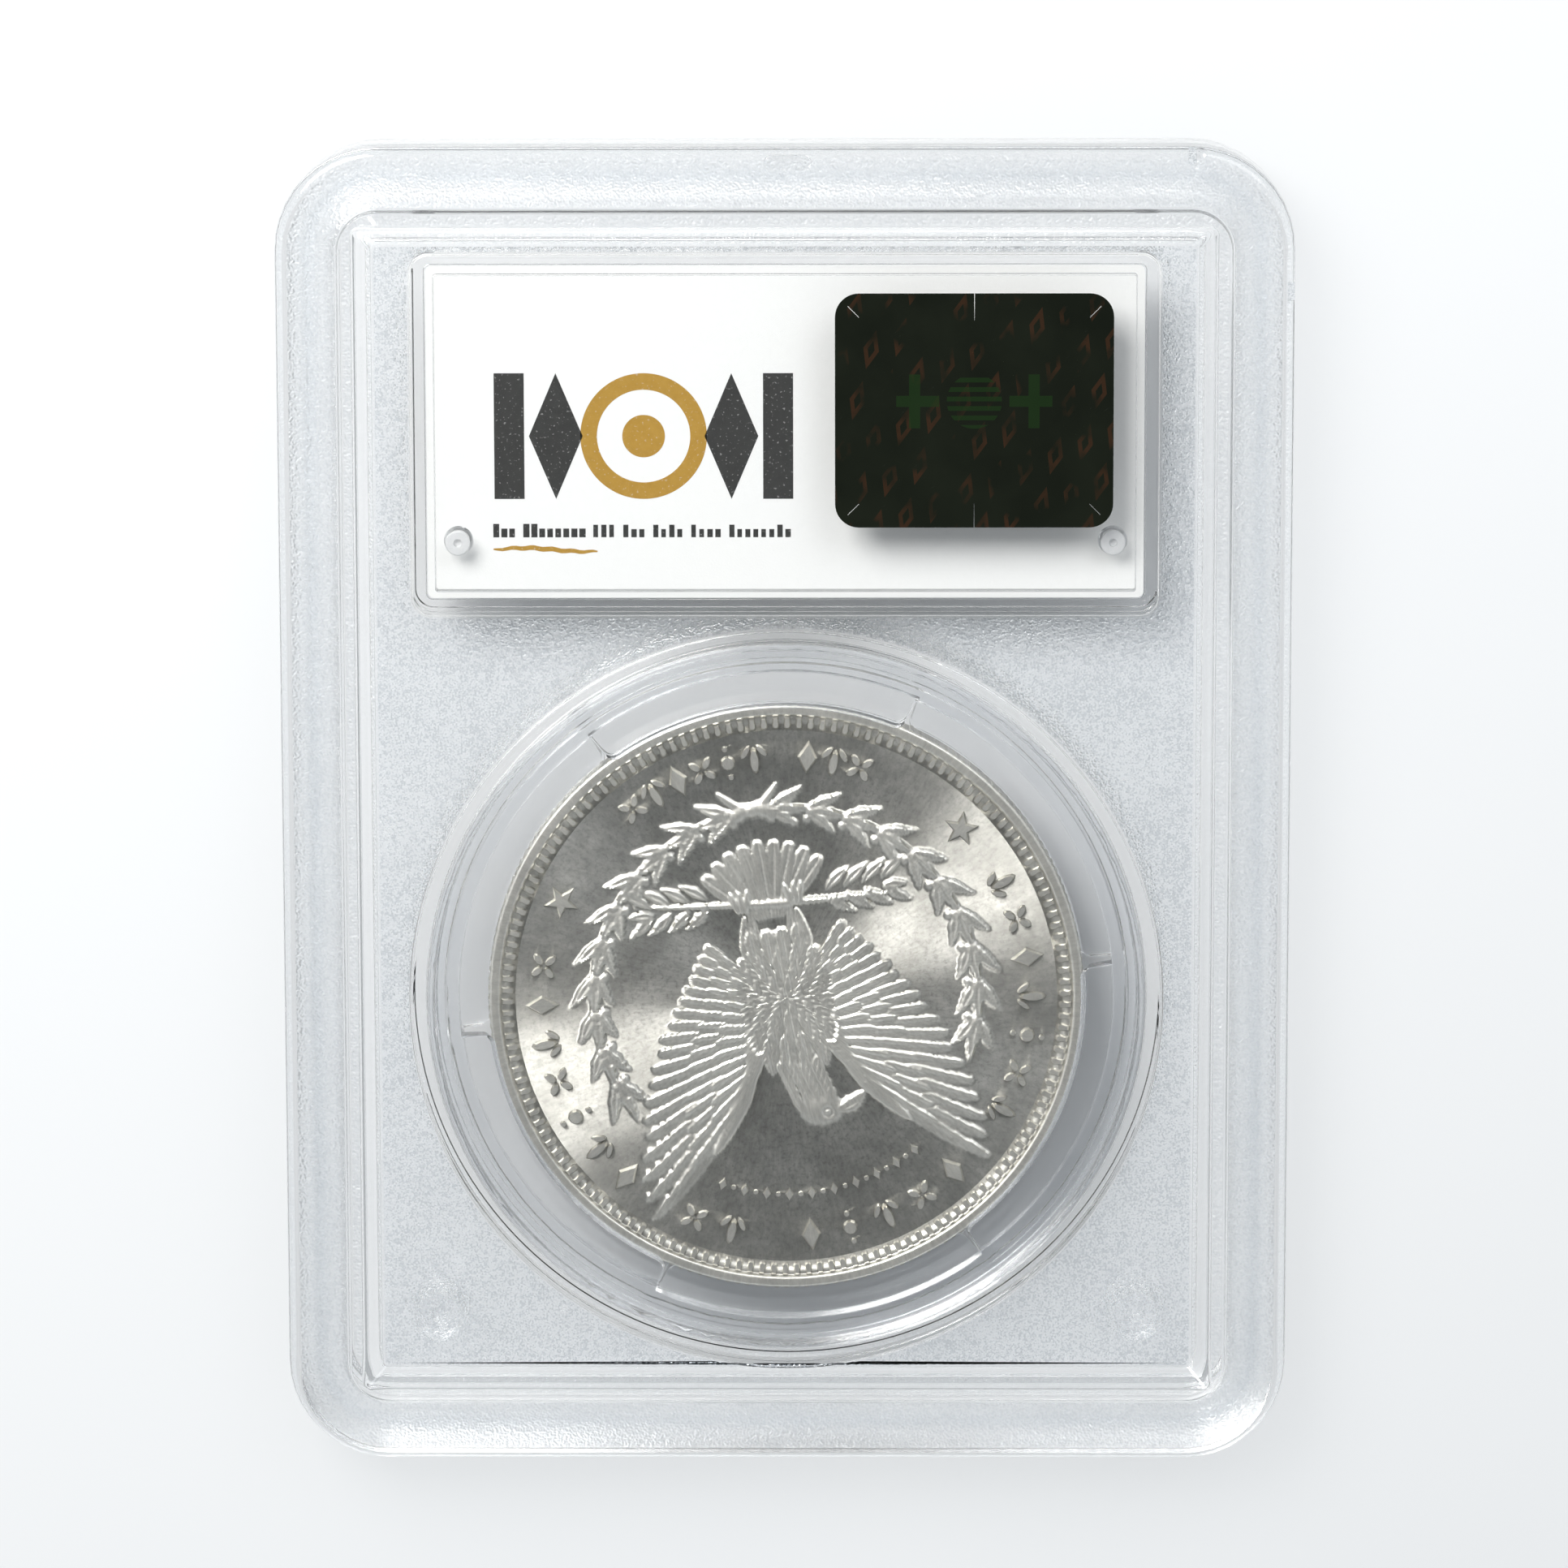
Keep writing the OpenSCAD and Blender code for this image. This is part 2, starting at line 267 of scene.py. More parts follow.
def scuffed_plastic():
    """The rough end of a post, painted near white with little transmission: painted light standing in for the
    light that scatters into the post.
    """
    s = Shade("scuffed_plastic")
    rub_and_lit_tone = s.noise(s.place(), 4.0, 3.0)
    # Painted light: the near-white colour makes the post end look lit. The rubbed noise also roughens it.
    return s.finish(Base_Color=s.mix(rub_and_lit_tone, (0.8, 0.81, 0.82), (0.96, 0.96, 0.96)), Transmission_Weight=0.35,
                    IOR=PLASTIC_IOR, Roughness=0.3 + rub_and_lit_tone * 0.3, Normal=s.bump(rub_and_lit_tone, 0.02))


def ring_plastic():
    s = Shade("ring_plastic")
    at = s.place((0, COIN_Y, 0))
    x, y, _ = s.axes(at)
    r = (x * x + y * y) ** 0.5
    turned = (r * 9.0 + s.noise(at, 0.8, 2.0) * 2.0).sin()
    haze = s.noise(at, 0.35, 3.0)
    return s.finish_clear(0.99, Base_Color=s.mix(haze, (0.96, 0.972, 0.99), (0.99, 0.995, 1.0)),
                          Roughness=0.08 + haze * 0.1, Normal=s.bump(turned, 0.006))


def struck_silver(name, stretch):
    """Struck metal: mottled fields painted dark as a painted reflection, radial flow lines with painted
    shade, and raised parts painted brighter as a painted highlight.

    stretch draws highlights out along the radial flow of the fields.
    """
    s = Shade(name)
    at = s.place((0, COIN_Y, SEAM_Z))
    tone = s.noise(at, 0.3, 5.0, 0.66)
    specks = s.noise(at, 3.2, 5.0, 0.72)
    x, y, z = s.axes(at)
    r = (x * x + y * y) ** 0.5
    flow = s.noise(s.joined(s.math("ARCTAN2", y, x) * 16.0, r * 0.3), 3.0, 3.0, 0.65)
    flow_streak_and_shade = s.ramp(flow, (0.35, 0.0), (0.65, 1.0))
    # Painted highlight and shade: the higher the metal, the lighter it is painted, so raised parts look lit
    # and the low slopes of the relief look shaded.
    high = ((z.size() - FIELD_H - 0.02) * 5.0).clamp()
    # Painted dark reflection: the fields are painted far darker than silver, over a tone and dark specks that
    # vary at random.
    field_with_painted_shade = s.mix(s.ramp(tone, (0.38, 0.0), (0.64, 1.0)), (0.4, 0.393, 0.366), (0.62, 0.61, 0.572))
    field_with_painted_shade = s.mix(s.ramp(specks, (0.48, 0.0), (0.66, 0.62)), field_with_painted_shade, (0.25, 0.242, 0.222))
    colour = s.mix(high, field_with_painted_shade, (0.86, 0.842, 0.785))
    # Painted shade: dark streaks painted along the radial flow lines. The same streaks also vary the
    # roughness.
    colour = s.mix(flow_streak_and_shade * 0.3, colour, (0.2, 0.195, 0.175))
    return s.finish(Base_Color=colour, Metallic=1.0, Anisotropic=stretch,
                    Roughness=0.3 + tone * 0.12 + flow_streak_and_shade * 0.06 - high * 0.06,
                    Normal=s.bump(specks * 0.6 + flow * 0.4, 0.006))


def label_paper():
    s = Shade("label_paper")
    at = s.place()
    pulp = s.noise(at, 2.6, 4.0, 0.6)
    fibre = s.noise(at, 9.0, 3.0)
    return s.finish(Base_Color=s.mix(pulp, (0.93, 0.93, 0.915), (0.975, 0.975, 0.965)),
                    Roughness=0.5 + pulp * 0.15, Normal=s.bump(fibre, 0.01))


def print_ink(name, dark, light):
    s = Shade(name)
    at = s.place()
    mottle = s.noise(at, 3.0, 3.0)
    missed = s.ramp(s.noise(at, 5.5, 1.0), (0.66, 0.0), (0.72, 0.3))
    colour = s.mix(missed, s.mix(mottle, dark, light), (0.75, 0.75, 0.72))
    return s.finish(Base_Color=colour, Roughness=0.35 + mottle * 0.15,
                    Normal=s.bump(s.noise(at, 8.0, 2.0), 0.004))


def sticker_foil():
    """Near-black foil: a faint green device, slanting rows of small rusty lozenges, and scratches."""
    s = Shade("sticker_foil")
    at = s.place((*((STICKER_LO + STICKER_HI) / 2)[:2], 0))
    x, y, _ = s.axes(at)
    cloud = s.noise(at, 0.25, 3.0)
    colour = s.mix(cloud, (0.003, 0.0045, 0.0025), (0.008, 0.011, 0.005))
    c, n = math.cos(FOIL_SLANT), math.sin(FOIL_SLANT)
    along, across = (x * c + y * n) * 0.3, (y * c - x * n) * 0.62
    row = s.math("FLOOR", across + 20.0)
    u, v = (s.math("FRACT", part + 20.0) - 0.5 for part in (along + row * 0.37, across))
    reach = u.size() * 2.6 + v.size() * 3.2
    rust = (reach < 1.0) * (reach > 0.45) * s.ramp(s.noise(at, 0.45, 2.0), (0.46, 0.0), (0.64, 1.0))
    colour = s.mix(rust, colour, (0.03, 0.014, 0.006))
    dx, dy = x.size(), (y - 0.6).size()
    disc = ((dx * dx + dy * dy) < 3.0) * ((y * 10.5).sin() > 0.0)
    pillars = (dx > 3.4) * (dx < 4.1) * (dy < 1.7)
    bars = (dx > 2.2) * (dx < 4.9) * (dy < 0.35)
    colour = s.mix((disc + pillars + bars).clamp() * 0.7, colour, (0.008, 0.026, 0.005))
    scratch = s.noise(s.joined(x * 0.5 + y * 0.42, y * 9.0 - x * 7.0), 1.0, 4.0, 0.7)
    colour = s.mix(s.ramp(scratch, (0.68, 0.0), (0.76, 0.35)), colour, (0.1, 0.11, 0.1))
    return s.finish(Base_Color=colour, Roughness=0.2 + cloud * 0.15, Specular_IOR_Level=0.3,
                    Normal=s.bump(s.noise(at, 1.2, 3.0), 0.006))


def pale_floor():
    s = Shade("pale_floor")
    at = s.place()
    soft = s.noise(at, 0.02, 2.0)
    return s.finish(Base_Color=s.mix(soft, (0.83, 0.84, 0.855), (0.86, 0.865, 0.875)), Roughness=0.7)


# ---------------------------------------------------------------- mesh helpers

def put(name, data):
    """Makes an object and puts it in the scene."""
    obj = bpy.data.objects.new(name, data)
    bpy.context.scene.collection.objects.link(obj)
    return obj


def outward(mesh, dist=None, thin=None, heal=False):
    """Turns faces outward. dist merges doubles, thin dissolves slivers, and heal closes open edges."""
    bm = bmesh.new()
    bm.from_mesh(mesh)
    if dist:
        bmesh.ops.remove_doubles(bm, verts=bm.verts, dist=dist)
        bmesh.ops.dissolve_degenerate(bm, edges=bm.edges, dist=thin)
    if heal:
        bmesh.ops.holes_fill(bm, edges=[e for e in bm.edges if len(e.link_faces) == 1])
    bmesh.ops.recalc_face_normals(bm, faces=bm.faces)
    bm.to_mesh(mesh)
    bm.free()


def mesh_piece(name, verts, faces, mats, face_mats=None, smooth=True):
    """Makes a piece from millimetre points, merges its doubles and gives it area-weighted normals."""
    mesh = bpy.data.meshes.new(name)
    mesh.from_pydata([tuple(v) for v in verts], [], [tuple(f) for f in faces])
    if face_mats is not None:
        mesh.polygons.foreach_set("material_index", np.asarray(face_mats, dtype=np.int32))
    for mat in mats:
        mesh.materials.append(mat)
    outward(mesh, 2e-4, 1e-5)
    mesh.transform(Matrix.Scale(MM, 4))
    mesh.update()
    if smooth:
        weigh_normals(mesh)
    return put(name, mesh)


def weigh_normals(mesh):
    """Large flat faces set the normals at their edges, so that small rounds shade cleanly beside them."""
    mesh.polygons.foreach_set("use_smooth", [True] * len(mesh.polygons))
    total = np.zeros((len(mesh.vertices), 3))
    for poly in mesh.polygons:
        n = np.array(poly.normal) * poly.area
        for v in poly.vertices:
            total[v] += n
    size = np.linalg.norm(total, axis=1)
    size[size == 0] = 1
    mesh.normals_split_custom_set_from_vertices([tuple(n) for n in total / size[:, None]])


def soften(rows, steps=4):
    """Rounds the corners of a profile.

    Each row is an inset or a radius, a height, the radius of the loop's corners, and how far the profile's
    own corner is cut back there.
    """
    points = [np.array(row[:3], float) for row in rows]
    out = [points[0]]
    for before, here, after, row in zip(points, points[1:], points[2:], rows[1:]):
        if not row[3]:
            out.append(here)
            continue
        a, b = (here + (end - here) * min(row[3] / np.linalg.norm((end - here)[:2]), 0.49)
                for end in (before, after))
        for t in np.arange(steps + 1) / steps:
            out.append((1 - t) ** 2 * a + 2 * t * (1 - t) * here + t ** 2 * b)
    return out + points[-1:]


def rounded_loop(half_w, half_l, r, cy=0.0, steps=10):
    """Plan points of a rounded rectangle, anticlockwise."""
    r = max(min(r, half_w, half_l), 1e-3)
    out = []
    for k, (sx, sy) in enumerate(((1, 1), (-1, 1), (-1, -1), (1, -1))):
        for q in np.radians(np.linspace(90 * k, 90 * k + 90, steps + 1)):
            out.append((sx * (half_w - r) + r * math.cos(q), cy + sy * (half_l - r) + r * math.sin(q)))
    return np.array(out)


def round_loop(r, cx=0.0, cy=0.0, steps=128):
    q = np.linspace(0, 2 * math.pi, steps, endpoint=False)
    return np.column_stack([cx + r * np.cos(q), cy + r * np.sin(q)])


class Skin:
    """Collects rings of points and the faces between them."""

    def __init__(self):
        self.verts, self.faces, self.mats = [], [], []

    def ring(self, loop, z):
        first = len(self.verts)
        self.verts += [(x, y, z) for x, y in loop]
        return list(range(first, len(self.verts)))

    def band(self, a, b, mat=0):
        n = len(a)
        self.faces += [(a[k], a[(k + 1) % n], b[(k + 1) % n], b[k]) for k in range(n)]
        self.mats += [mat] * n

    def sweep(self, profile, make, mats=lambda a, b: 0):
        """Joins loops along a profile of (inset, height, corner) points. Returns the first and last loops."""
        rings = [self.ring(make(p), p[1]) for p in profile]
        for k in range(1, len(rings)):
            self.band(rings[k - 1], rings[k], mats(profile[k - 1], profile[k]))
        return make(profile[0]), make(profile[-1])

    def flat(self, outer, holes, z, mat=0):
        """Fills the level area between an outer loop and the holes in it."""
        loops = [np.asarray(outer)] + [np.asarray(h) for h in holes]
        points, edges = [], []
        for loop in loops:
            n0 = len(points)
            points += [Vector(p) for p in loop]
            edges += [(n0 + k, n0 + (k + 1) % len(loop)) for k in range(len(loop))]
        made, _, tris, *_ = delaunay_2d_cdt(points, edges, [], 0, 1e-7)
        xy = np.array([tuple(p) for p in made])
        mid = np.array([xy[list(t)].mean(axis=0) for t in tris])
        keep = inside(mid, loops[0])
        for hole in loops[1:]:
            keep &= ~inside(mid, hole)
        first = len(self.verts)
        self.verts += [(x, y, z) for x, y in xy]
        kept = [tuple(first + k for k in t) for t, ok in zip(tris, keep) if ok]
        self.faces += kept
        self.mats += [mat] * len(kept)


def inside(points, loop):
    """Which points lie within a closed loop."""
    x, y = points[:, 0][:, None], points[:, 1][:, None]
    x0, y0 = loop[:, 0], loop[:, 1]
    x1, y1 = np.roll(x0, -1), np.roll(y0, -1)
    crosses = (y0 > y) != (y1 > y)
    with np.errstate(divide="ignore", invalid="ignore"):
        at = (x1 - x0) * (y - y0) / (y1 - y0) + x0
    return (crosses & (x < at)).sum(axis=1) % 2 == 1


def frame_loop(p):
    return rounded_loop(HALF_W - p[0], HALF_L - p[0], p[2])


def corner(d):
    return CORNER_R - d


def on_label(p):
    return rounded_loop(WELL_W / 2 + p[0], WELL_L / 2 + p[0], 0.4 + p[0] if p[0] > -0.3 else 0.2, CARD_Y)


def on_coin(p):
    return round_loop(p[0], 0, COIN_Y, 192)


def at_round(cx, cy):
    return lambda p: round_loop(p[0], cx, cy, 32)


# ---------------------------------------------------------------- shells

def by_level(levels):
    """Chooses a band's material: the edge's near the outside, and further in that of the level it lies on."""
    return lambda a, b: EDGE if max(a[0], b[0]) < 0.9 else levels.get(a[1], CLEAR) if a[1] == b[1] else CLEAR


def window_face(s, foot, floor_z, window_z, mat):
    """Fills a shell's outer face inside its edge, with the label and coin windows as steps in it."""
    outs, ins = [], []
    for r, shape in ((LABEL_WALL, on_label), (WINDOW_R - EDGE_CHAMFER, on_coin)):
        rows = [(r + 0.16, floor_z, 0, 0), (r, floor_z, 0, 0.08), (r - 0.04, window_z, 0, 0.08),
                (r - 0.2, window_z, 0, 0)]
        out, into = s.sweep(soften(rows), shape)
        outs.append(out)
        ins.append(into)
    s.flat(foot, outs, floor_z, mat)
    for loop in ins:
        s.flat(loop, [], window_z)


def seam_side(a, b, tip, cut, seam, inner_z):
    """The seam's side of an edge: a tongue or groove between two insets, then a wall to the inner face."""
    rows = ((a, seam, 0), (a, tip, cut), (b, tip, cut), (b, seam, 0.04), (WALL_IN, seam, 0.05),
            (WALL_IN, inner_z, 0.2), (WALL_IN + 0.4, inner_z, 0))
    return soften([(d, z, corner(d), cut) for d, z, cut in rows])


def boss(inner_z, seam, r, end, cut):
    """A round boss up to the seam, with a pin or a socket of radius r that ends at the height end."""
    return soften([(PIN_R + 0.1, inner_z, 0, 0), (PIN_R, inner_z, 0, 0.08), (PIN_R, seam, 0, 0.08),
                   (r, seam, 0, 0.06), (r, end, 0, cut), (0.05, end, 0, 0)])


def inner_side(s, edge, inner_z, seam, ledge_z, pin, post=None):
    """The inside of a shell: its edge, the walls round the coin and the label, the bosses and the posts."""
    _, level = s.sweep(edge, frame_loop)
    out, well = s.sweep(soften([(WINDOW_R + 0.12, inner_z, 0, 0), (WINDOW_R, inner_z, 0, 0.1),
                                (WINDOW_R, seam, 0, 0.08), (WELL_R, seam, 0, 0.08), (WELL_R, inner_z, 0, 0.1),
                                (WELL_R - 0.12, inner_z, 0, 0)]), on_coin)
    s.flat(well, [], inner_z)
    holes, posts = [out], []
    out, well = s.sweep(soften([(LABEL_WALL + 0.12, inner_z, 0, 0), (LABEL_WALL, inner_z, 0, 0.1),
                                (LABEL_WALL, seam, 0, 0.08), (0, seam, 0, 0.05), (0, ledge_z, 0, 0.05),
                                (-LABEL_LEDGE, ledge_z, 0, 0.08), (-LABEL_LEDGE, inner_z, 0, 0.1),
                                (-LABEL_LEDGE - 0.12, inner_z, 0, 0)]), on_label)
    holes.append(out)
    for side in (-1, 1):
        if post:
            end_z = post[-1][1]
            # The post ends take the near-white painted-light material.
            out, end = s.sweep(post, at_round(side * POST_X, POST_Y),
                               lambda a, b: LIT_POST_END if min(a[1], b[1]) > end_z - 0.05 else CLEAR)
            posts.append(out)
            s.flat(end, [], end_z, LIT_POST_END)
        out, end = s.sweep(pin, at_round(side * PIN_X, PIN_Y))
        holes.append(out)
        s.flat(end, [], pin[-1][1])
    s.flat(well, posts, inner_z)
    s.flat(level, holes, inner_z)


def back_shell(mats):
    s, seam = Skin(), SEAM_Z + GAP
    outer = [(TONGUE_IN, seam, corner(TONGUE_IN), 0), (EDGE_CHAMFER, seam, corner(EDGE_CHAMFER), 0.04),
             (0, seam + EDGE_CHAMFER, CORNER_R, 0.04), (0, BACK_WINDOW_Z, CORNER_R, 0.8),
             (3.9, BACK_WINDOW_Z, corner(3.9), 0.14), (4.0, RIDGE_Z, corner(4.0), 0.16),
             (4.9, RIDGE_Z, 0.5, 0.14), (6.1, BACK_FLOOR_Z, 0.35, 0.14), (6.35, BACK_FLOOR_Z, 0.3, 0)]
    _, foot = s.sweep(soften(outer, 6), frame_loop, by_level({BACK_WINDOW_Z: FROST, BACK_FLOOR_Z: GRAIN}))
    window_face(s, foot, BACK_FLOOR_Z, BACK_WINDOW_Z, GRAIN)
    tongue = seam_side(TONGUE_IN, TONGUE_IN + TONGUE_W, SEAM_Z - TONGUE_H + GAP, 0.06, seam, BACK_INNER_Z)
    inner_side(s, tongue, BACK_INNER_Z, seam, SEAM_Z + CARD_GAP + GAP,
               boss(BACK_INNER_Z, seam, 0.6, SEAM_Z - 1.1, 0.15))
    piece = mesh_piece("back_shell_clear", s.verts, s.faces, mats, s.mats)
    cut_notches(piece)
    return piece


def cut_notches(piece):
    """Cuts the two small notches out of the outer edge. Their walls take the grained material."""
    x, y = HALF_W - CORNER_R, HALF_L
    low, high = BACK_WINDOW_Z - 0.5, BACK_WINDOW_Z + 1
    cutter = bmesh.new()
    for lo, hi in (((x - 0.25, y - 1.15, low), (x + 0.25, y + 1, high)),
                   ((HALF_W - 0.5, y - CORNER_R - 3.15, low), (HALF_W + 1, y - CORNER_R - 2, high))):
        size, mid = np.subtract(hi, lo), np.add(hi, lo) / 2
        for v in bmesh.ops.create_cube(cutter, size=1.0)["verts"]:
            v.co = Vector((np.array(v.co) * size + mid) * MM)
    mesh = bpy.data.meshes.new("notch_cutter")
    cutter.to_mesh(mesh)
    cutter.free()
    mesh.materials.append(piece.data.materials[GRAIN])
    tool = put("notch_cutter", mesh)
    mod = piece.modifiers.new("notches", "BOOLEAN")
    mod.operation, mod.solver, mod.object = "DIFFERENCE", "EXACT", tool
    mod.material_mode = "TRANSFER"
    whole = bpy.data.meshes.new_from_object(piece.evaluated_get(bpy.context.evaluated_depsgraph_get()))
    piece.modifiers.clear()
    bpy.data.objects.remove(tool)
    outward(whole, 1e-6, 1e-7, heal=True)
    piece.data = whole
    whole.name = piece.name
    weigh_normals(whole)


def gate_scar(mat):
    """The low pill-shaped mark left by the moulding gate, in the middle of the label end."""
    s = Skin()
    place = lambda p: rounded_loop(1.5 - p[0], 0.5 - p[0], 0.49 - p[0], HALF_L - 0.95) + (0.2, 0)
    low, high = BACK_WINDOW_Z + GAP, BACK_WINDOW_Z + 0.15
    rows = [(0.25, high, 0, 0), (0.02, high, 0, 0.1), (0, low, 0, 0.03), (0.2, low, 0, 0)]
    top, foot = s.sweep(soften(rows), place)
    s.flat(top, [], high)
    s.flat(foot, [], low)
    return mesh_piece("gate_scar", s.verts, s.faces, [mat])


def front_shell(mats):
    s, seam = Skin(), SEAM_Z - GAP
    near, far = TONGUE_IN - 0.05, TONGUE_IN + TONGUE_W + 0.05
    outer = [(near, seam, corner(near), 0), (EDGE_CHAMFER, seam, corner(EDGE_CHAMFER), 0.04),
             (0, seam - EDGE_CHAMFER, CORNER_R, 0.04), (0, 0, CORNER_R, 0.8), (3.3, 0, corner(3.3), 0.14),
             (3.8, FRONT_FLOOR_Z, corner(3.8), 0.14), (4.1, FRONT_FLOOR_Z, corner(4.1), 0)]
    _, foot = s.sweep(soften(outer, 6), frame_loop, by_level({FRONT_FLOOR_Z: FROST, 0: FROST}))
    window_face(s, foot, FRONT_FLOOR_Z, FRONT_WINDOW_Z, FROST)
    groove = seam_side(near, far, SEAM_Z - GROOVE_DEPTH - GAP, 0.05, seam, FRONT_INNER_Z)
    top = BACK_INNER_Z - 0.1
    post = soften([(0.9, FRONT_INNER_Z, 0, 0), (0.8, FRONT_INNER_Z, 0, 0.08), (0.8, top, 0, 0.12),
                   (0.25, top, 0, 0.05), (0.25, top - 0.3, 0, 0.1), (0.05, top - 0.3, 0, 0)])
    inner_side(s, groove, FRONT_INNER_Z, seam, SEAM_Z - CARD_GAP - GAP,
               boss(FRONT_INNER_Z, seam, 0.65, SEAM_Z - 1.3, 0.1), post)
    return mesh_piece("front_shell_clear", s.verts, s.faces, mats, s.mats)


# ---------------------------------------------------------------- coin rings

def push(loop, d):
    """Moves a closed loop's points sideways, outwards for an anticlockwise loop."""
    ahead, behind = np.roll(loop, -1, axis=0), np.roll(loop, 1, axis=0)
    along = ahead - behind
    along /= np.linalg.norm(along, axis=1)[:, None]
    return loop + d * np.column_stack([along[:, 1], -along[:, 0]])


def tab_loop(r_tab, turn):
    """Bore of a ring half: three arcs on the tabs, three deeper arcs between them, with round ends."""
    third, half, r0 = 2 * math.pi / 3, TAB_HALF_ANGLE, r_tab + TAB_FILLET
    pull = math.asin(TAB_FILLET / r0)
    out = []

    def arc(r, mid, spread, cx=0.0, cy=0.0):
        out.extend((cx + r * math.cos(mid + q), cy + r * math.sin(mid + q)) for q in spread)

    def fillet(mid, spread):
        arc(TAB_FILLET, mid, spread, r0 * math.cos(mid), r0 * math.sin(mid))

    for k in range(3):
        mid = turn + k * third
        arc(r_tab, mid, np.linspace(-half + pull, half - pull, 24))
        fillet(mid + half - pull, np.linspace(math.pi, 0.5 * math.pi, 8)[1:])
        arc(RING_BORE_R, mid, np.linspace(half + 0.004, third - half - 0.004, 24))
        fillet(mid + third - half + pull, np.linspace(-0.5 * math.pi, -math.pi, 8)[:-1])
    return np.array(out) + (0, COIN_Y)


def ring_half(name, mat, turn, up):
    """One moulded half of the clear ring. up is 1 for the back half and -1 for the front half."""
    s = Skin()
    high = RING_HI[2] - SEAM_Z - GAP
    lip_z = COIN_T / 2 + 0.05
    z = lambda h: SEAM_Z + up * (h + GAP)
    low, lip = tab_loop(TAB_R, turn), tab_loop(TAB_R - 0.3, turn)
    circle = lambda r: round_loop(r, 0, COIN_Y, 192)

    def wall(rows):
        made = [s.ring(loop, z(h)) for loop, h in rows]
        for a, b in zip(made, made[1:]):
            s.band(a, b)

    outside = ((0.1, 0), (0.03, 0.03), (0, 0.1), (0, high - 0.16), (0.05, high - 0.05), (0.16, high))
    bore = ((low, 0.08, 0), (low, 0.02, 0.02), (low, 0, 0.08), (low, 0, lip_z - 0.04), (lip, 0.06, lip_z),
            (lip, 0, lip_z + 0.05), (lip, 0, high - 0.1), (lip, 0.03, high - 0.03), (lip, 0.1, high))
    groove = ((22.55, 0), (22.5, 0.05), (22.45, 0.2), (22.4, 0.25), (21.8, 0.25), (21.75, 0.2), (21.7, 0.05),
              (21.65, 0))
    wall([(circle(RING_R - d), h) for d, h in outside])
    wall([(push(loop, d), h) for loop, d, h in bore])
    wall([(circle(r), high - deep) for r, deep in groove])
    s.flat(circle(RING_R - outside[0][0]), [push(low, bore[0][1])], z(0))
    s.flat(circle(RING_R - outside[-1][0]), [circle(groove[0][0])], z(high))
    s.flat(circle(groove[-1][0]), [push(lip, bore[-1][1])], z(high))
    return mesh_piece(name, s.verts, s.faces, [mat])


# ---------------------------------------------------------------- coin

COIN_TURN = math.radians(190.5)
FIELD_R = 17.3
REED_D = 0.07
TEETH, REEDS = 150, 188
LEGEND_R = 15.6
FIELD_H = COIN_T / 2 - 0.3
RELIEF = 0.26
PLUME = dict(soft=0.25, over=True)          # how a long feather is laid
SCALE = dict(soft=0.4, over=True)           # how a small one is


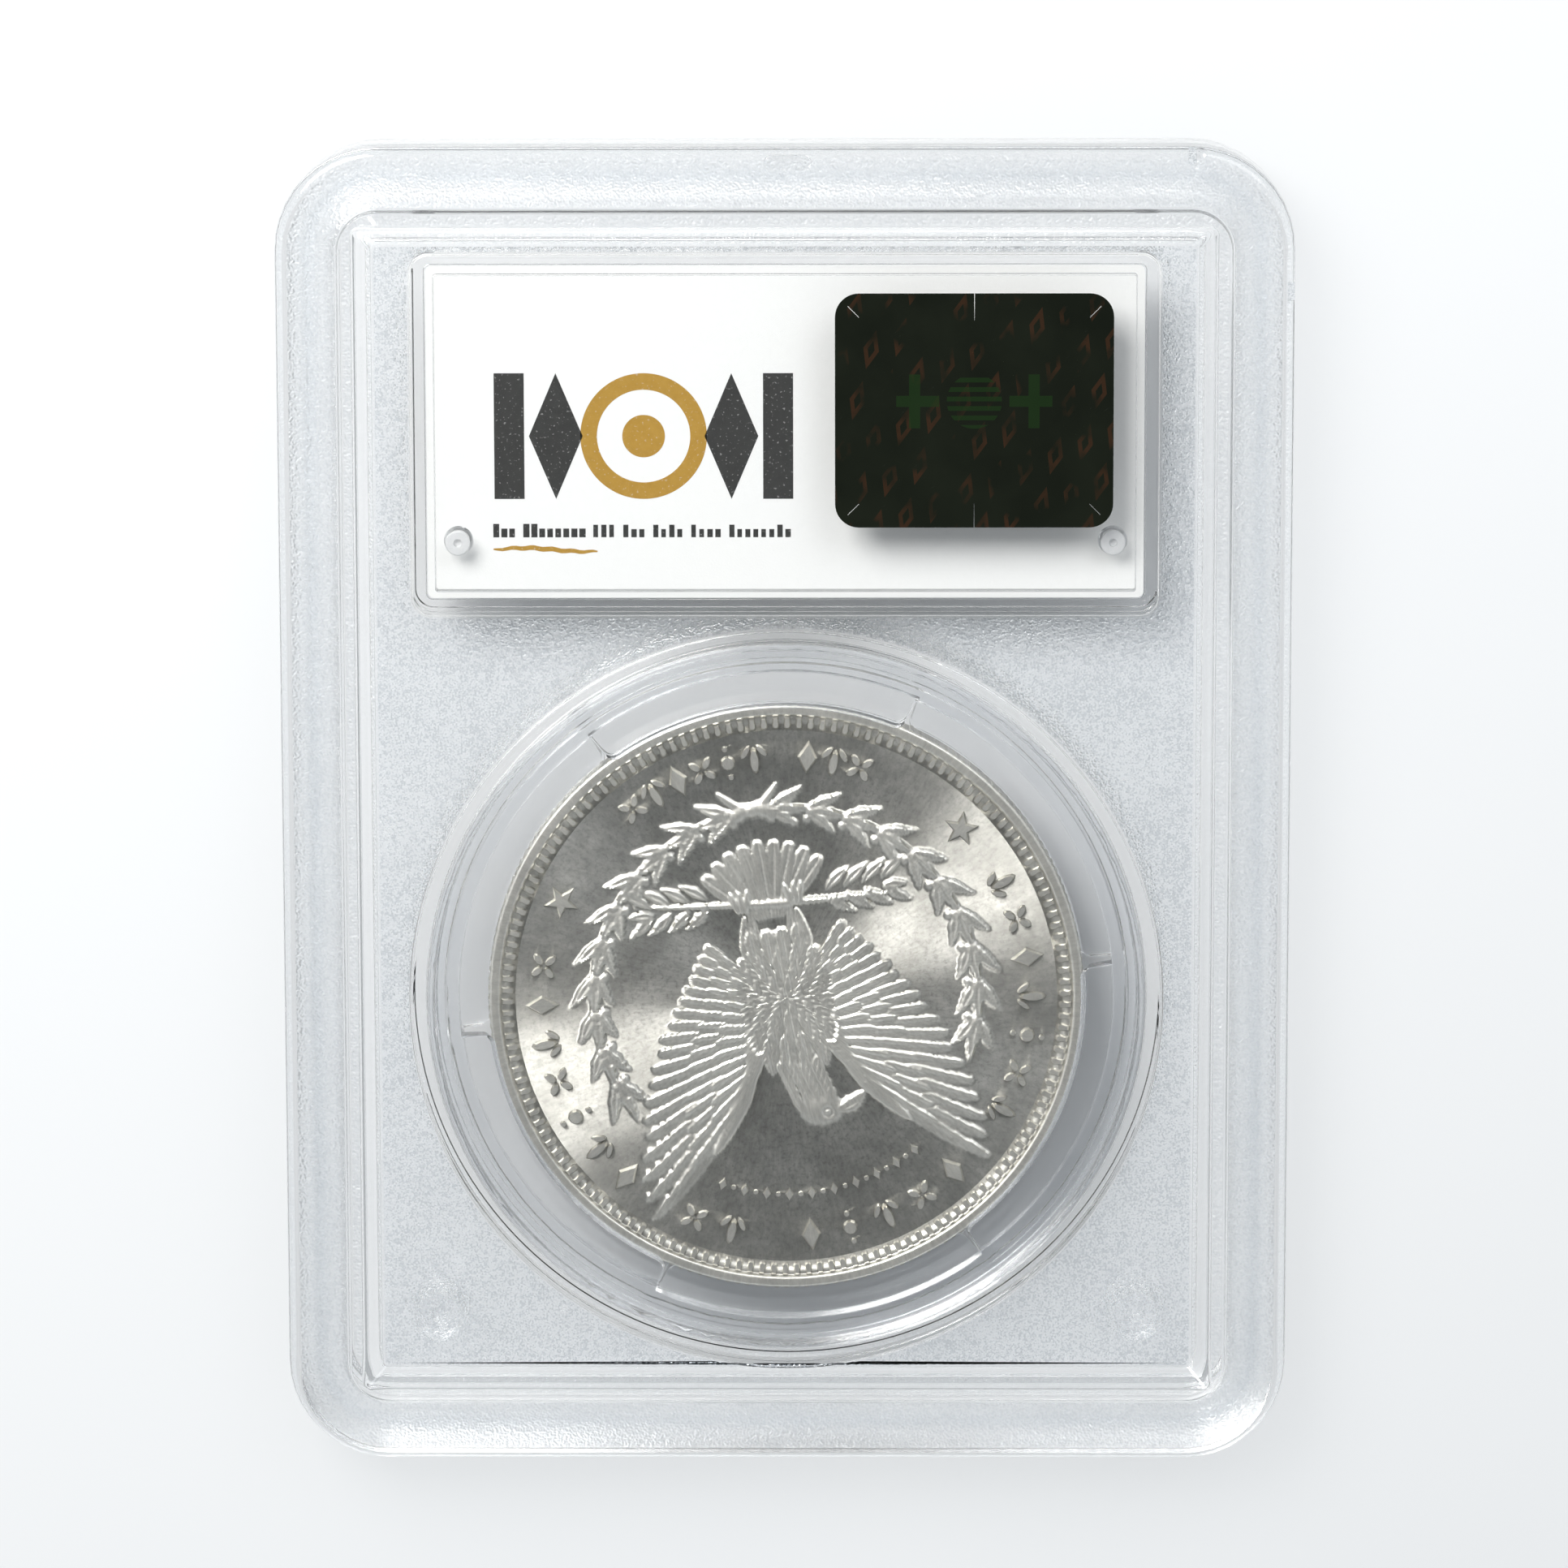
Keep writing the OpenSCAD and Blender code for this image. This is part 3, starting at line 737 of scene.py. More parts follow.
class Relief:
    """Heights over the points of one face. Shapes are drawn one after another, as an engraver would."""

    def __init__(self, rings, spokes):
        self.rings, self.spokes = rings, spokes
        r = np.linspace(FIELD_R / rings, FIELD_R, rings)
        q = np.linspace(0, 2 * math.pi, spokes, endpoint=False)
        rr, qq = np.meshgrid(r, q, indexing="ij")
        self.r = rr.ravel()
        self.x, self.y = (rr * np.cos(qq)).ravel(), (rr * np.sin(qq)).ravel()
        self.h = np.zeros_like(self.x)

    def near(self, lo, hi):
        return np.nonzero((self.x > lo[0]) & (self.x < hi[0]) & (self.y > lo[1]) & (self.y < hi[1]))[0]

    def blade(self, root, tip, width, rise, bend=0.0, level=0.0, blunt=0.5, vein=0.5, barbs=0.0, fat=0.45,
              soft=0.7, over=False, lean=0.0):
        """A leaf or a feather: a curved spine with a swelling outline, a vein, and barbs for a feather.

        over lays it on top of what is there, and lean lifts one of its edges.
        """
        root, tip = np.array(root, float), np.array(tip, float)
        mid = (root + tip) / 2 + bend * np.array([-(tip - root)[1], (tip - root)[0]])
        t = np.linspace(0, 1, 11)[:, None]
        path = (1 - t) ** 2 * root + 2 * t * (1 - t) * mid + t * t * tip
        k = self.near(path.min(axis=0) - width, path.max(axis=0) + width)
        if not len(k):
            return
        px, py = self.x[k], self.y[k]
        best, along, side = np.full(len(k), 1e9), np.zeros(len(k)), np.zeros(len(k))
        for n in range(10):
            a, d = path[n], path[n + 1] - path[n]
            u = np.clip(((px - a[0]) * d[0] + (py - a[1]) * d[1]) / (d @ d), 0, 1)
            ex, ey = px - a[0] - u * d[0], py - a[1] - u * d[1]
            dist = np.hypot(ex, ey)
            hit = dist < best
            best[hit], along[hit] = dist[hit], ((n + u) / 10)[hit]
            side[hit] = np.sign(d[0] * ey - d[1] * ex)[hit]
        grow = np.where(along < fat, along / fat, (1 - along) / (1 - fat))
        half = width / 2 * np.clip(grow, 1e-4, 1) ** blunt
        q = best / half
        dome = np.sqrt(np.clip(1 - q ** 2, 0, 1))
        line = 1 - vein * np.exp(-(best / 0.075) ** 2)
        comb = 1 + barbs * np.sin(along * np.linalg.norm(tip - root) * 17 + best * 9)
        new = level + rise * dome ** soft * line * comb * (1 + lean * side * q)
        if not over:
            new = np.maximum(self.h[k], new)
        self.h[k] = np.where(q < 1, new, self.h[k])

    def mound(self, centre, a, b, rise, turn=0.0, power=0.5):
        """An oval dome."""
        c, n = math.cos(turn), math.sin(turn)
        reach = max(a, b)
        k = self.near(np.array(centre) - reach, np.array(centre) + reach)
        dx, dy = self.x[k] - centre[0], self.y[k] - centre[1]
        u, v = (dx * c + dy * n) / a, (dy * c - dx * n) / b
        dome = np.clip(1 - u * u - v * v, 0, 1) ** power
        self.h[k] = np.maximum(self.h[k], rise * dome)

    def heights(self):
        dish = 0.05 * (self.r / FIELD_R) ** 2
        return dish + np.minimum(self.h, RELIEF)


def polar(r, degrees):
    q = math.radians(degrees)
    return np.array([r * math.cos(q), r * math.sin(q)])


def draw_wreath(face, rng, last=22, r=12.3):
    """Two leafy arms that spring from a bow at the bottom."""
    for side in (1, -1):
        flip = lambda p: np.array([side * p[0], p[1]])
        q = -86.0
        while q < last:
            here, ahead = polar(r, q), polar(r, q + 11)
            face.blade(flip(here), flip(ahead), 0.3, 0.12, 0.0, blunt=0.3, vein=0)
            for lean, size, bend in ((-30, 2.9, 0.12), (0, 3.3, 0.04), (29, 2.8, -0.12)):
                d = polar(1, q + 95 + lean)
                tip = here + d * size * rng.uniform(0.9, 1.08)
                face.blade(flip(here + d * 0.25), flip(tip), 0.8, 0.2, side * bend, 0.03, 0.75, 0.6,
                           over=True, lean=0.25, soft=0.45)
            berry = here + polar(0.75, q + 95 + 52)
            face.mound(flip(berry), 0.3, 0.3, 0.17)
            q += 11.2
    for side in (1, -1):
        face.mound((side * 0.85, -r + 0.1), 0.95, 0.55, 0.22, side * 0.5)
        face.blade((side * 0.2, -r), (side * 1.9, -r - 1.5), 0.55, 0.18, side * 0.15, blunt=0.35, vein=0.2)
    face.mound((0, -r), 0.5, 0.5, 0.26)


def draw_wing(face, side, rng):
    """A raised wing: long flight feathers, then two rows of shorter ones over their roots."""
    flip = lambda p: (side * p[0], p[1])
    low, wrist = np.array([2.2, -1.5]), np.array([3.7, 5.9])
    rows = ((19, 0.3, 3.2, 6.5, 0.98, 0.0), (16, 0.1, 2.3, 3.3, 0.9, 0.04), (13, 0.0, 1.3, 2.0, 0.8, 0.08))
    for count, start, short, more, wide, level in rows:
        for k in range(count):
            t = k / (count - 1)
            angle = math.radians(-50 + 93 * t ** 0.9)
            d = np.array([math.cos(angle), math.sin(angle)])
            root = (1 - t) * low + t * wrist + d * start
            tip = root + d * (short + more * t ** 1.5) * rng.uniform(0.97, 1.03)
            face.blade(flip(root), flip(tip), wide, 0.14, side * 0.06, level, 0.22, 0.3, 0.12, 0.6,
                       lean=-side * 0.55, **PLUME)
    # the front edge of the wing, from the shoulder to beyond the wrist
    for root, tip, wide in (((1.7, -1.0), (3.3, 5.2), 1.8), ((2.4, 3.0), (6.4, 9.3), 1.3)):
        face.blade(flip(root), flip(tip), wide, 0.16, side * 0.08, 0.09, 0.4, 0, 0.1, 0.45, soft=0.5)


def draw_body(face):
    """The breast: rows of small feathers over a long dome, then neck, head and beak."""
    face.blade((0, -4.4), (0, 5.6), 5.6, 0.09, 0, 0.0, 0.55, 0, soft=0.5, over=True)
    for row in range(12):
        y = -3.7 + row * 0.78
        half = 2.55 * math.sqrt(max(0.05, 1 - ((y - 0.4) / 5.0) ** 2))
        n = max(1, int(half * 2 / 0.95))
        for k in range(n + 1 - row % 2):
            x = -half + 2 * half * (k + 0.5 * (row % 2)) / n
            dome = 0.07 * math.sqrt(max(0, 1 - (x / 3.0) ** 2))
            face.blade((x * 0.98, y + 0.75), (x * 1.04, y - 0.85), 1.05, 0.12, 0, dome, 0.35, 0.5, 0.1, 0.6,
                       lean=0.3, **SCALE)
    for row in range(5):
        y = 4.9 + row * 0.52
        for x in (-1.05, -0.35, 0.35, 1.05):
            sway = 0.14 * row
            face.blade((x * 0.85 - sway, y + 0.6), (x * 1.2 - sway, y - 0.75), 0.7, 0.1, 0, 0.09, 0.3, 0.5, 0,
                       0.6, lean=0.3, **SCALE)
    face.mound((-0.85, 7.55), 1.5, 1.15, 0.22, -0.15)
    face.blade((-1.8, 7.8), (-3.8, 6.9), 1.15, 0.2, -0.22, 0.0, 0.5, 0.3, soft=0.5)
    eye = np.hypot(face.x + 1.25, face.y - 7.85)
    face.h -= 0.1 * np.exp(-((eye - 0.26) / 0.1) ** 2)


def draw_bird(face, rng):
    for k in (0, 8, 1, 7, 2, 6, 3, 5, 4):                   # tail fan, outer feathers first
        tip = np.array([0, -5.2]) + polar(5.1, -90 + (k - 4) * 12)
        face.blade((0.12 * (k - 4), -5.2), tip, 1.15, 0.15, 0, 0.0, 0.25, 0.4, 0.1, 0.72, **PLUME)
    for side in (1, -1):
        draw_wing(face, side, rng)
    for side in (1, -1):                                    # feathered legs
        for k, x in enumerate((0.9, 1.9, 1.4)):
            foot = (side * (x * 0.4 + 0.85), -6.2 + 0.5 * k)
            face.blade((side * x, -2.4), foot, 0.8, 0.12, side * 0.08, 0.02, 0.45, 0.45, 0.12, 0.35, **SCALE)
    draw_body(face)
    face.blade((-7.6, -5.5), (7.6, -7.3), 0.5, 0.2, 0.03, 0.03, 0.25, 0, **SCALE)       # branch
    for side in (1, -1):
        for toe in (-0.55, 0, 0.55):
            face.blade((side * 1.75 + toe * 0.4, -5.8), (side * 1.75 + toe, -7.3), 0.5, 0.2, 0, 0.05, 0.4, 0,
                       **SCALE)
    leaf = dict(blunt=0.7, vein=0.55, soft=0.45, over=True)
    for side, sway, tilt in ((1, -6.75, -0.12), (-1, -6.05, 0.12)):
        for k in range(4):
            x = side * (3.7 + k * 1.2)
            base = sway + tilt * abs(x) * 0.25 * side
            for up in (1, -1):
                face.blade((x, base + 0.15 * up), (x + side * 1.8, base + up * 1.45), 0.75, 0.18,
                           side * up * 0.1, 0.02, **leaf)
        face.blade((side * 7.3, sway), (side * 9.0, sway + tilt), 0.7, 0.18, 0, 0.02, **leaf)


def draw_sunburst(face):
    for k in range(24):
        q = k * 15
        face.blade(polar(2.2, q), polar(8.4 if k % 2 == 0 else 6.4, q), 1.5, 0.2, 0, 0, 0.8, -0.1, 0, 0.15)
    face.mound((0, 0), 2.9, 2.9, 0.26, 0, 0.4)
    for k in range(5):
        face.blade((0, 0), polar(2.3, 90 + 72 * k), 1.2, 0.26, 0, 0.02, 0.9, -0.1, 0, 0.1)


def draw_back(face, rng):
    draw_wreath(face, rng)
    draw_bird(face, rng)


def draw_front(face, rng):
    draw_wreath(face, rng, 60)
    draw_sunburst(face)


def coin_face(name, mats, up, draw, rings, spokes):
    """One face of the coin. Its fields take the first material and its raised parts the second."""
    face = Relief(rings, spokes)
    draw(face, np.random.default_rng(SEED))
    h = face.heights()
    c, n = math.cos(COIN_TURN), math.sin(COIN_TURN)
    x, y = face.x * up, face.y
    top = np.column_stack([x * c - y * n, x * n + y * c + COIN_Y, SEAM_Z + up * (FIELD_H + h)])
    edge = top[-spokes:].copy()
    edge[:, 2] = SEAM_Z
    centre = SEAM_Z + up * (FIELD_H + h[:spokes].mean())
    verts = np.vstack([top, edge, [(0, COIN_Y, centre), (0, COIN_Y, SEAM_Z)]])
    k = np.arange(spokes)
    nxt = (k + 1) % spokes
    faces = []
    for ring in range(rings):                               # the last pass is the side wall
        a, b = ring * spokes, (ring + 1) * spokes
        faces += np.column_stack([a + k, b + k, b + nxt, a + nxt]).tolist()
    mid, foot = len(verts) - 2, rings * spokes
    pairs = list(zip(k.tolist(), nxt.tolist()))
    faces += [(mid, a, b) for a, b in pairs] + [(mid + 1, foot + b, foot + a) for a, b in pairs]
    mesh = bpy.data.meshes.new(name)
    mesh.from_pydata((verts * MM).tolist(), [], faces)
    for one in mats:
        mesh.materials.append(one)
    raised = face.h.reshape(rings, spokes) > 0.03
    raised = np.pad((raised[:-1] & raised[1:]).ravel(), (0, len(faces) - (rings - 1) * spokes))
    mesh.polygons.foreach_set("material_index", raised.astype(np.int32))
    mesh.polygons.foreach_set("use_smooth", [True] * len(mesh.polygons))
    outward(mesh)
    sharpen(mesh, 1.2)
    return put(name, mesh)


def sharpen(mesh, angle):
    """Shades sharply across every edge that turns by more than an angle."""
    bm = bmesh.new()
    bm.from_mesh(mesh)
    for e in bm.edges:
        e.smooth = e.calc_face_angle(0) < angle
    bm.to_mesh(mesh)
    bm.free()


def coin_rim(mat):
    s = Skin()
    half, body_r, rise = COIN_T / 2, COIN_R - REED_D, FIELD_H + 0.05
    side = [(FIELD_R, rise, 0), (18.2, rise, 0.05), (18.34, half - 0.04, 0.03), (18.44, half, 0.05),
            (body_r - 0.14, half, 0.05), (body_r - 0.04, half - 0.04, 0.03), (body_r, half - 0.14, 0.02)]
    rows = soften([(r, h, 0, cut) for r, h, cut in side + [(r, -h, cut) for r, h, cut in side[::-1]]], 2)
    s.sweep([(p[0], SEAM_Z + p[1], 0) for p in rows], on_coin)
    a, b = (s.ring(on_coin((FIELD_R,)), SEAM_Z + h) for h in (rise, -rise))
    s.band(b, a)
    return mesh_piece("coin_rim", s.verts, s.faces, [mat])


# ---------------------------------------------------------------- geometry nodes

class Tree:
    """A geometry node tree with named inputs."""

    def __init__(self, name, **sizes):
        self.group = bpy.data.node_groups.new(name, "GeometryNodeTree")
        face = self.group.interface
        face.new_socket("Geometry", in_out="INPUT", socket_type="NodeSocketGeometry")
        self.values = {}
        for key, value in sizes.items():
            item = face.new_socket(key, in_out="INPUT", socket_type="NodeSocketFloat")
            item.default_value = value
            self.values[item.identifier] = value
        face.new_socket("Geometry", in_out="OUTPUT", socket_type="NodeSocketGeometry")
        self.given = self.group.nodes.new("NodeGroupInput")
        self.out = self.group.nodes.new("NodeGroupOutput")

    def add(self, kind, settings=None, out=0, **inputs):
        node = self.group.nodes.new(kind)
        for key, value in (settings or {}).items():
            setattr(node, key, value)
        for key, value in inputs.items():
            if hasattr(value, "is_linked"):
                self.group.links.new(value, socket_of(node, key))
            else:
                socket_of(node, key).default_value = value
        return node.outputs[out]

    def make(self, name, base, mat, cut):
        """Ends the tree, runs it on a base mesh and returns the result as a plain piece."""
        real = self.add("GeometryNodeRealizeInstances", Geometry=cut)
        done = self.add("GeometryNodeSetMaterial", Geometry=real, Material=mat)
        self.group.links.new(done, self.out.inputs["Geometry"])
        helper = put(name + "_base", base)
        mod = helper.modifiers.new("array", "NODES")
        mod.node_group = self.group
        for ident, value in self.values.items():
            mod[ident] = value
        made = helper.evaluated_get(bpy.context.evaluated_depsgraph_get())
        mesh = bpy.data.meshes.new_from_object(made)
        mesh.name = name
        mesh.materials.clear()
        mesh.materials.append(mat)
        mesh.polygons.foreach_set("material_index", [0] * len(mesh.polygons))
        bpy.data.objects.remove(helper)
        return put(name, mesh)


def shape_object(name, verts, faces):
    """A small mesh in millimetres, to be repeated by a tree."""
    mesh = bpy.data.meshes.new(name)
    mesh.from_pydata([tuple(c * MM for c in v) for v in verts], [], faces)
    mesh.validate()
    mesh.update()
    outward(mesh)
    return bpy.data.objects.new(name, mesh)


def column(low, high, z0, z1):
    """Joins two outlines of as many points, and closes both ends."""
    n = len(low)
    faces = [tuple(range(n))[::-1], tuple(range(n, 2 * n))]
    faces += [(k, (k + 1) % n, n + (k + 1) % n, n + k) for k in range(n)]
    return [(x, y, z0) for x, y in low] + [(x, y, z1) for x, y in high], faces


def prism(outline, h, shrink=0.7):
    """A flat outline raised by h, with sloping sides."""
    mid = np.mean(outline, axis=0)
    return column(outline, [mid + (np.array(p) - mid) * shrink for p in outline], -0.05, h)


def points_mesh(name, spots):
    """One point for each repeat: (x, y, z, turn, tip over, which shape)."""
    mesh = bpy.data.meshes.new(name)
    mesh.from_pydata([(x * MM, y * MM, z * MM) for x, y, z, *_ in spots], [], [])
    turn = mesh.attributes.new("turn", "FLOAT_VECTOR", "POINT")
    turn.data.foreach_set("vector", [c for s in spots for c in (s[4], 0.0, s[3])])
    kind = mesh.attributes.new("kind", "INT", "POINT")
    kind.data.foreach_set("value", [s[5] for s in spots])
    return mesh


def repeat(name, mat, spots, shapes, size=1.0):
    """Sets one of a few shapes at each spot."""
    tree = Tree(name, Size=float(size))
    turn = tree.add("GeometryNodeInputNamedAttribute", {"data_type": "FLOAT_VECTOR"}, Name="turn")
    kind = tree.add("GeometryNodeInputNamedAttribute", {"data_type": "INT"}, Name="kind")
    join = tree.group.nodes.new("GeometryNodeGeometryToInstance")
    for shape in reversed(shapes):
        info = tree.add("GeometryNodeObjectInfo", out=4, Object=shape)
        tree.group.links.new(info, join.inputs[0])
    given = tree.given.outputs
    scale = tree.add("ShaderNodeCombineXYZ", X=given["Size"], Y=given["Size"], Z=given["Size"])
    placed = tree.add("GeometryNodeInstanceOnPoints", Points=given["Geometry"], Instance=join.outputs[0],
                      Pick_Instance=True, Instance_Index=kind, Rotation=turn, Scale=scale)
    piece = tree.make(name, points_mesh(name + "_points", spots), mat, placed)
    for shape in shapes:
        bpy.data.objects.remove(shape)
    return piece


def coin_spot(r, degrees, up, kind=0, spin=0.0):
    """A spot on a face of the coin, in the coin's own upright drawing."""
    q = math.radians(degrees)
    x, y = up * r * math.cos(q), r * math.sin(q)
    c, n = math.cos(COIN_TURN), math.sin(COIN_TURN)
    z = SEAM_Z + up * (FIELD_H + 0.05 * (r / FIELD_R) ** 2)
    facing = math.atan2(y, x) + COIN_TURN - math.pi / 2 + spin
    return (x * c - y * n, x * n + y * c + COIN_Y, z, facing, 0.0 if up > 0 else math.pi, kind)


def star_outline(r, n=5):
    return [tuple(r * (0.42 if k % 2 else 1) * np.array([math.sin(q), math.cos(q)]))
            for k, q in enumerate(math.pi * k / n for k in range(2 * n))]


def coin_beads(mat):
    """The ring of teeth just inside the rim, on both faces."""
    tooth = ((-0.52, 0.1), (-0.42, 0.23), (-0.16, 0.26), (0.1, 0.2), (0.4, 0.2))
    outline = [(-w, y) for y, w in tooth] + [(w, y) for y, w in reversed(tooth)]
    spots = [coin_spot(17.86, k * 360 / TEETH, up) for up in (1, -1) for k in range(TEETH)]
    return repeat("coin_beads", mat, spots, [shape_object("tooth", *prism(outline, 0.22, 0.62))])


def solid(*outlines):
    """One solid from several raised outlines."""
    verts, faces = [], []
    for outline in outlines:
        v, f = prism(outline, 0.24, 0.72)
        faces += [tuple(len(verts) + c for c in face) for face in f]
        verts += v
    return verts, faces


def oval(x, y, a, b, turn=0.0, n=10):
    c, k = math.cos(turn), math.sin(turn)
    return [(x + a * math.cos(q) * c - b * math.sin(q) * k, y + a * math.cos(q) * k + b * math.sin(q) * c)
            for q in np.linspace(0, 2 * math.pi, n, endpoint=False)]


def coin_legend(mat):
    """Raised ornaments round the faces: lozenges, rosettes, buds, discs and stars, with gaps (None)."""
    petals = [oval(0.42 * math.cos(q), 0.42 * math.sin(q), 0.36, 0.2, q)
              for q in np.linspace(math.pi / 4, 2.25 * math.pi, 4, endpoint=False)]
    kinds = {"lozenge": [[(0, -0.9), (0.52, 0), (0, 0.9), (-0.52, 0)]],
             "petals": petals,
             "bud": [oval(0, 0.1, 0.72, 0.26, math.pi / 2), oval(0.4, -0.35, 0.42, 0.16, 0.9),
                     oval(-0.4, -0.35, 0.42, 0.16, math.pi - 0.9)],
             "discs": [oval(0, 0, 0.4, 0.4), oval(0, 0.7, 0.16, 0.16), oval(0, -0.7, 0.16, 0.16)],
             "star": [star_outline(0.95)]}
    shapes = [shape_object(name, *solid(*outlines)) for name, outlines in kinds.items()]
    upper = [2, 1, 0, 2, 3, 1, 2, None, 0, 1, 2, 3, 0, None, 2, 1, None, 0, 2, 3, 1, 2, 0, 1]
    lower = [1, 2, 0, None, 2, 3, 1, 0, 2, 1]
    spots = []
    for up in (1, -1):
        for order, start, sweep, spin in ((upper, 198, -216, 0.0), (lower, -118, 56, math.pi)):
            spots += [coin_spot(LEGEND_R, start + k * sweep / (len(order) - 1), up, kind, spin)
                      for k, kind in enumerate(order) if kind is not None]
        spots += [coin_spot(LEGEND_R, q, up, 4, math.pi) for q in (-146, -34)]
    return repeat("coin_legend", mat, spots, shapes, 1.32)


def coin_motto(mat):
    """A short arc of small lozenges and dots between the wing tips."""
    lozenge = [(0, -0.5), (0.3, 0), (0, 0.5), (-0.3, 0)]
    shapes = [shape_object("small_lozenge", *prism(lozenge, 0.2)),
              shape_object("dot", *prism(oval(0, 0, 0.2, 0.2, n=8), 0.2))]
    spots = [coin_spot(12.9, q, 1, k % 2) for k, q in enumerate(np.linspace(119, 61, 19))]
    return repeat("coin_motto", mat, spots, shapes)


def coin_reeds(mat):
    """Fine upright ridges round the coin's edge."""
    high, w, d = COIN_T / 2 - 0.16, 0.2, REED_D
    ridge = [(-w, -0.03), (-w * 0.55, d * 0.8), (0, d), (w * 0.55, d * 0.8), (w, -0.03)]
    r = COIN_R - REED_D - 0.002
    spots = [(r * math.cos(q), COIN_Y + r * math.sin(q), SEAM_Z, q - math.pi / 2, 0.0, 0)
             for q in (2 * math.pi * k / REEDS for k in range(REEDS))]
    return repeat("coin_reeds", mat, spots, [shape_object("reed", *column(ridge, ridge, -high, high))])


# ---------------------------------------------------------------- label print

def printed(name, shapes, mat):
    """Flat ink shapes, each an outline or an (outline, holes) pair, raised a hair above the card."""
    s = Skin()
    z0 = CARD_HI[2] + 0.002
    z1 = z0 + 0.008
    for shape in shapes:
        outer, holes = shape if isinstance(shape, tuple) else (shape, [])
        plate(s, np.asarray(outer, float), [np.asarray(h, float) for h in holes], z0, z1)
    return mesh_piece(name, s.verts, s.faces, [mat], smooth=False)


def plate(s, outer, holes, z0, z1):
    """A flat plate between two heights."""
    s.flat(outer, holes, z1)
    s.flat(outer, holes, z0)
    for loop in [outer] + holes:
        s.band(s.ring(loop, z0), s.ring(loop, z1))


def rect(x0, x1, y0, y1):
    return np.array([(x0, y0), (x1, y0), (x1, y1), (x0, y1)])


def emblem():
    """A plain device: an ochre ring and bead between charcoal pillars and lozenges."""
    x0, x1, y0, y1 = -18.4, 0.5, 19.8, 27.8
    mid, level, half = (x0 + x1) / 2, (y0 + y1) / 2, (y1 - y0) / 2
    dark = []
    for side in (-1, 1):
        dark.append(rect(*sorted((mid + side * 7.55, mid + side * 9.45)), y0, y1))
        x = mid + side * 5.55
        dark.append(np.array([(x - 1.7, level), (x, level - half), (x + 1.7, level), (x, level + half)]))
    ring = lambda r: round_loop(r, mid, level, 96)
    gold = [(ring(half), [ring(half - 1.05)]), ring(1.35)]
    return dark, gold


def small_print():
    """A line of small plain blocks where a card would have a line of print, heavier at its start."""
    rng = np.random.default_rng(SEED)
    blocks, x = [], -18.5
    words = [(3, 0.62), (8, 0.62), (3, 0.42), (3, 0.42), (4, 0.42), (4, 0.42), (8, 0.42)]
    step = 19.0 / (sum(n for n, _ in words) + 0.75 * (len(words) - 1))
    for n, heavy in words:
        for k in range(n):
            tall = 0.86 if k == 0 or rng.random() < 0.2 else 0.56
            wide = step * (0.72 + 0.12 * heavy) * rng.uniform(0.82, 1.0)
            thin = 0.5 if heavy < 0.5 else 1.0
            blocks.append(rect(x, x + wide * (0.8 + 0.2 * thin), 17.35, 17.35 + tall * (0.86 + 0.14 * thin)))
            x += step
        x += 0.75 * step
    return blocks


def underline():
    x = np.linspace(-18.5, -11.9, 24)
    mid = 16.55 + 0.12 * np.sin((x + 18.5) * 0.8) + 0.04 * np.sin(x * 5)
    half = 0.14 * np.sin(np.clip((x + 18.55) / 6.7, 0, 1) * math.pi) ** 0.4 + 0.015
    return np.vstack([np.column_stack([x, mid - half]), np.column_stack([x, mid + half])[::-1]])


# ---------------------------------------------------------------- sticker

def sticker(mat):
    """A thin foil with rounded corners and the small cuts that make it tear when it's lifted."""
    s = Skin()
    cx, cy = (STICKER_LO[0] + STICKER_HI[0]) / 2, (STICKER_LO[1] + STICKER_HI[1]) / 2
    hw, hl = (STICKER_HI[0] - STICKER_LO[0]) / 2, (STICKER_HI[1] - STICKER_LO[1]) / 2
    edge = rounded_loop(hw, hl, 1.5)
    cut = 0.022
    top = [(cut, hl), (cut * 0.5, hl - 1.7), (-cut * 0.5, hl - 1.7), (-cut, hl)]
    foot = [(-cut, -hl), (-cut * 0.5, 1.5 - hl), (cut * 0.5, 1.5 - hl), (cut, -hl)]
    quarter = len(edge) // 4
    loop = np.vstack([edge[:quarter], top, edge[quarter:3 * quarter], foot, edge[3 * quarter:]]) + (cx, cy)
    slots = []
    for sx, sy in ((1, 1), (-1, 1), (-1, -1), (1, -1)):
        a, b = np.array([sx * (hw - 0.8), sy * (hl - 0.8)]), np.array([sx * (hw - 1.5), sy * (hl - 1.5)])
        side = cut * 0.8 * np.array([-(b - a)[1], (b - a)[0]]) / np.linalg.norm(b - a)
        slots.append(np.array([a + side, a - side, b - side, b + side]) + (cx, cy))
    plate(s, loop, slots, STICKER_LO[2] + 0.002, STICKER_HI[2])
    return mesh_piece("sticker_foil_piece", s.verts, s.faces, [mat], smooth=False)


# ---------------------------------------------------------------- stage, light and camera

FLOOR_R = 3.0               # metres
# The tent's brightness, from level to straight up
TENT = (0.0, 0.25), (0.14, 0.2), (0.3, 0.58), (0.72, 0.62), (0.86, 0.4), (0.96, 0.14)

def stage(mat):
    mesh = bpy.data.meshes.new("floor")
    mesh.from_pydata([(x, y, -0.00002) for x, y in round_loop(FLOOR_R, steps=96)], [], [tuple(range(96))])
    mesh.materials.append(mat)
    put("floor", mesh)


def softbox(name, at, watts, tint):
    """A round soft lamp, 260 mm across, aimed at the slab."""
    lamp = bpy.data.lights.new(name, "AREA")
    lamp.shape, lamp.size, lamp.energy, lamp.color = "DISK", 0.26, watts, tint
    obj = put(name, lamp)
    obj.location = at
    obj.rotation_euler = (-Vector(at)).to_track_quat("-Z", "Y").to_euler()


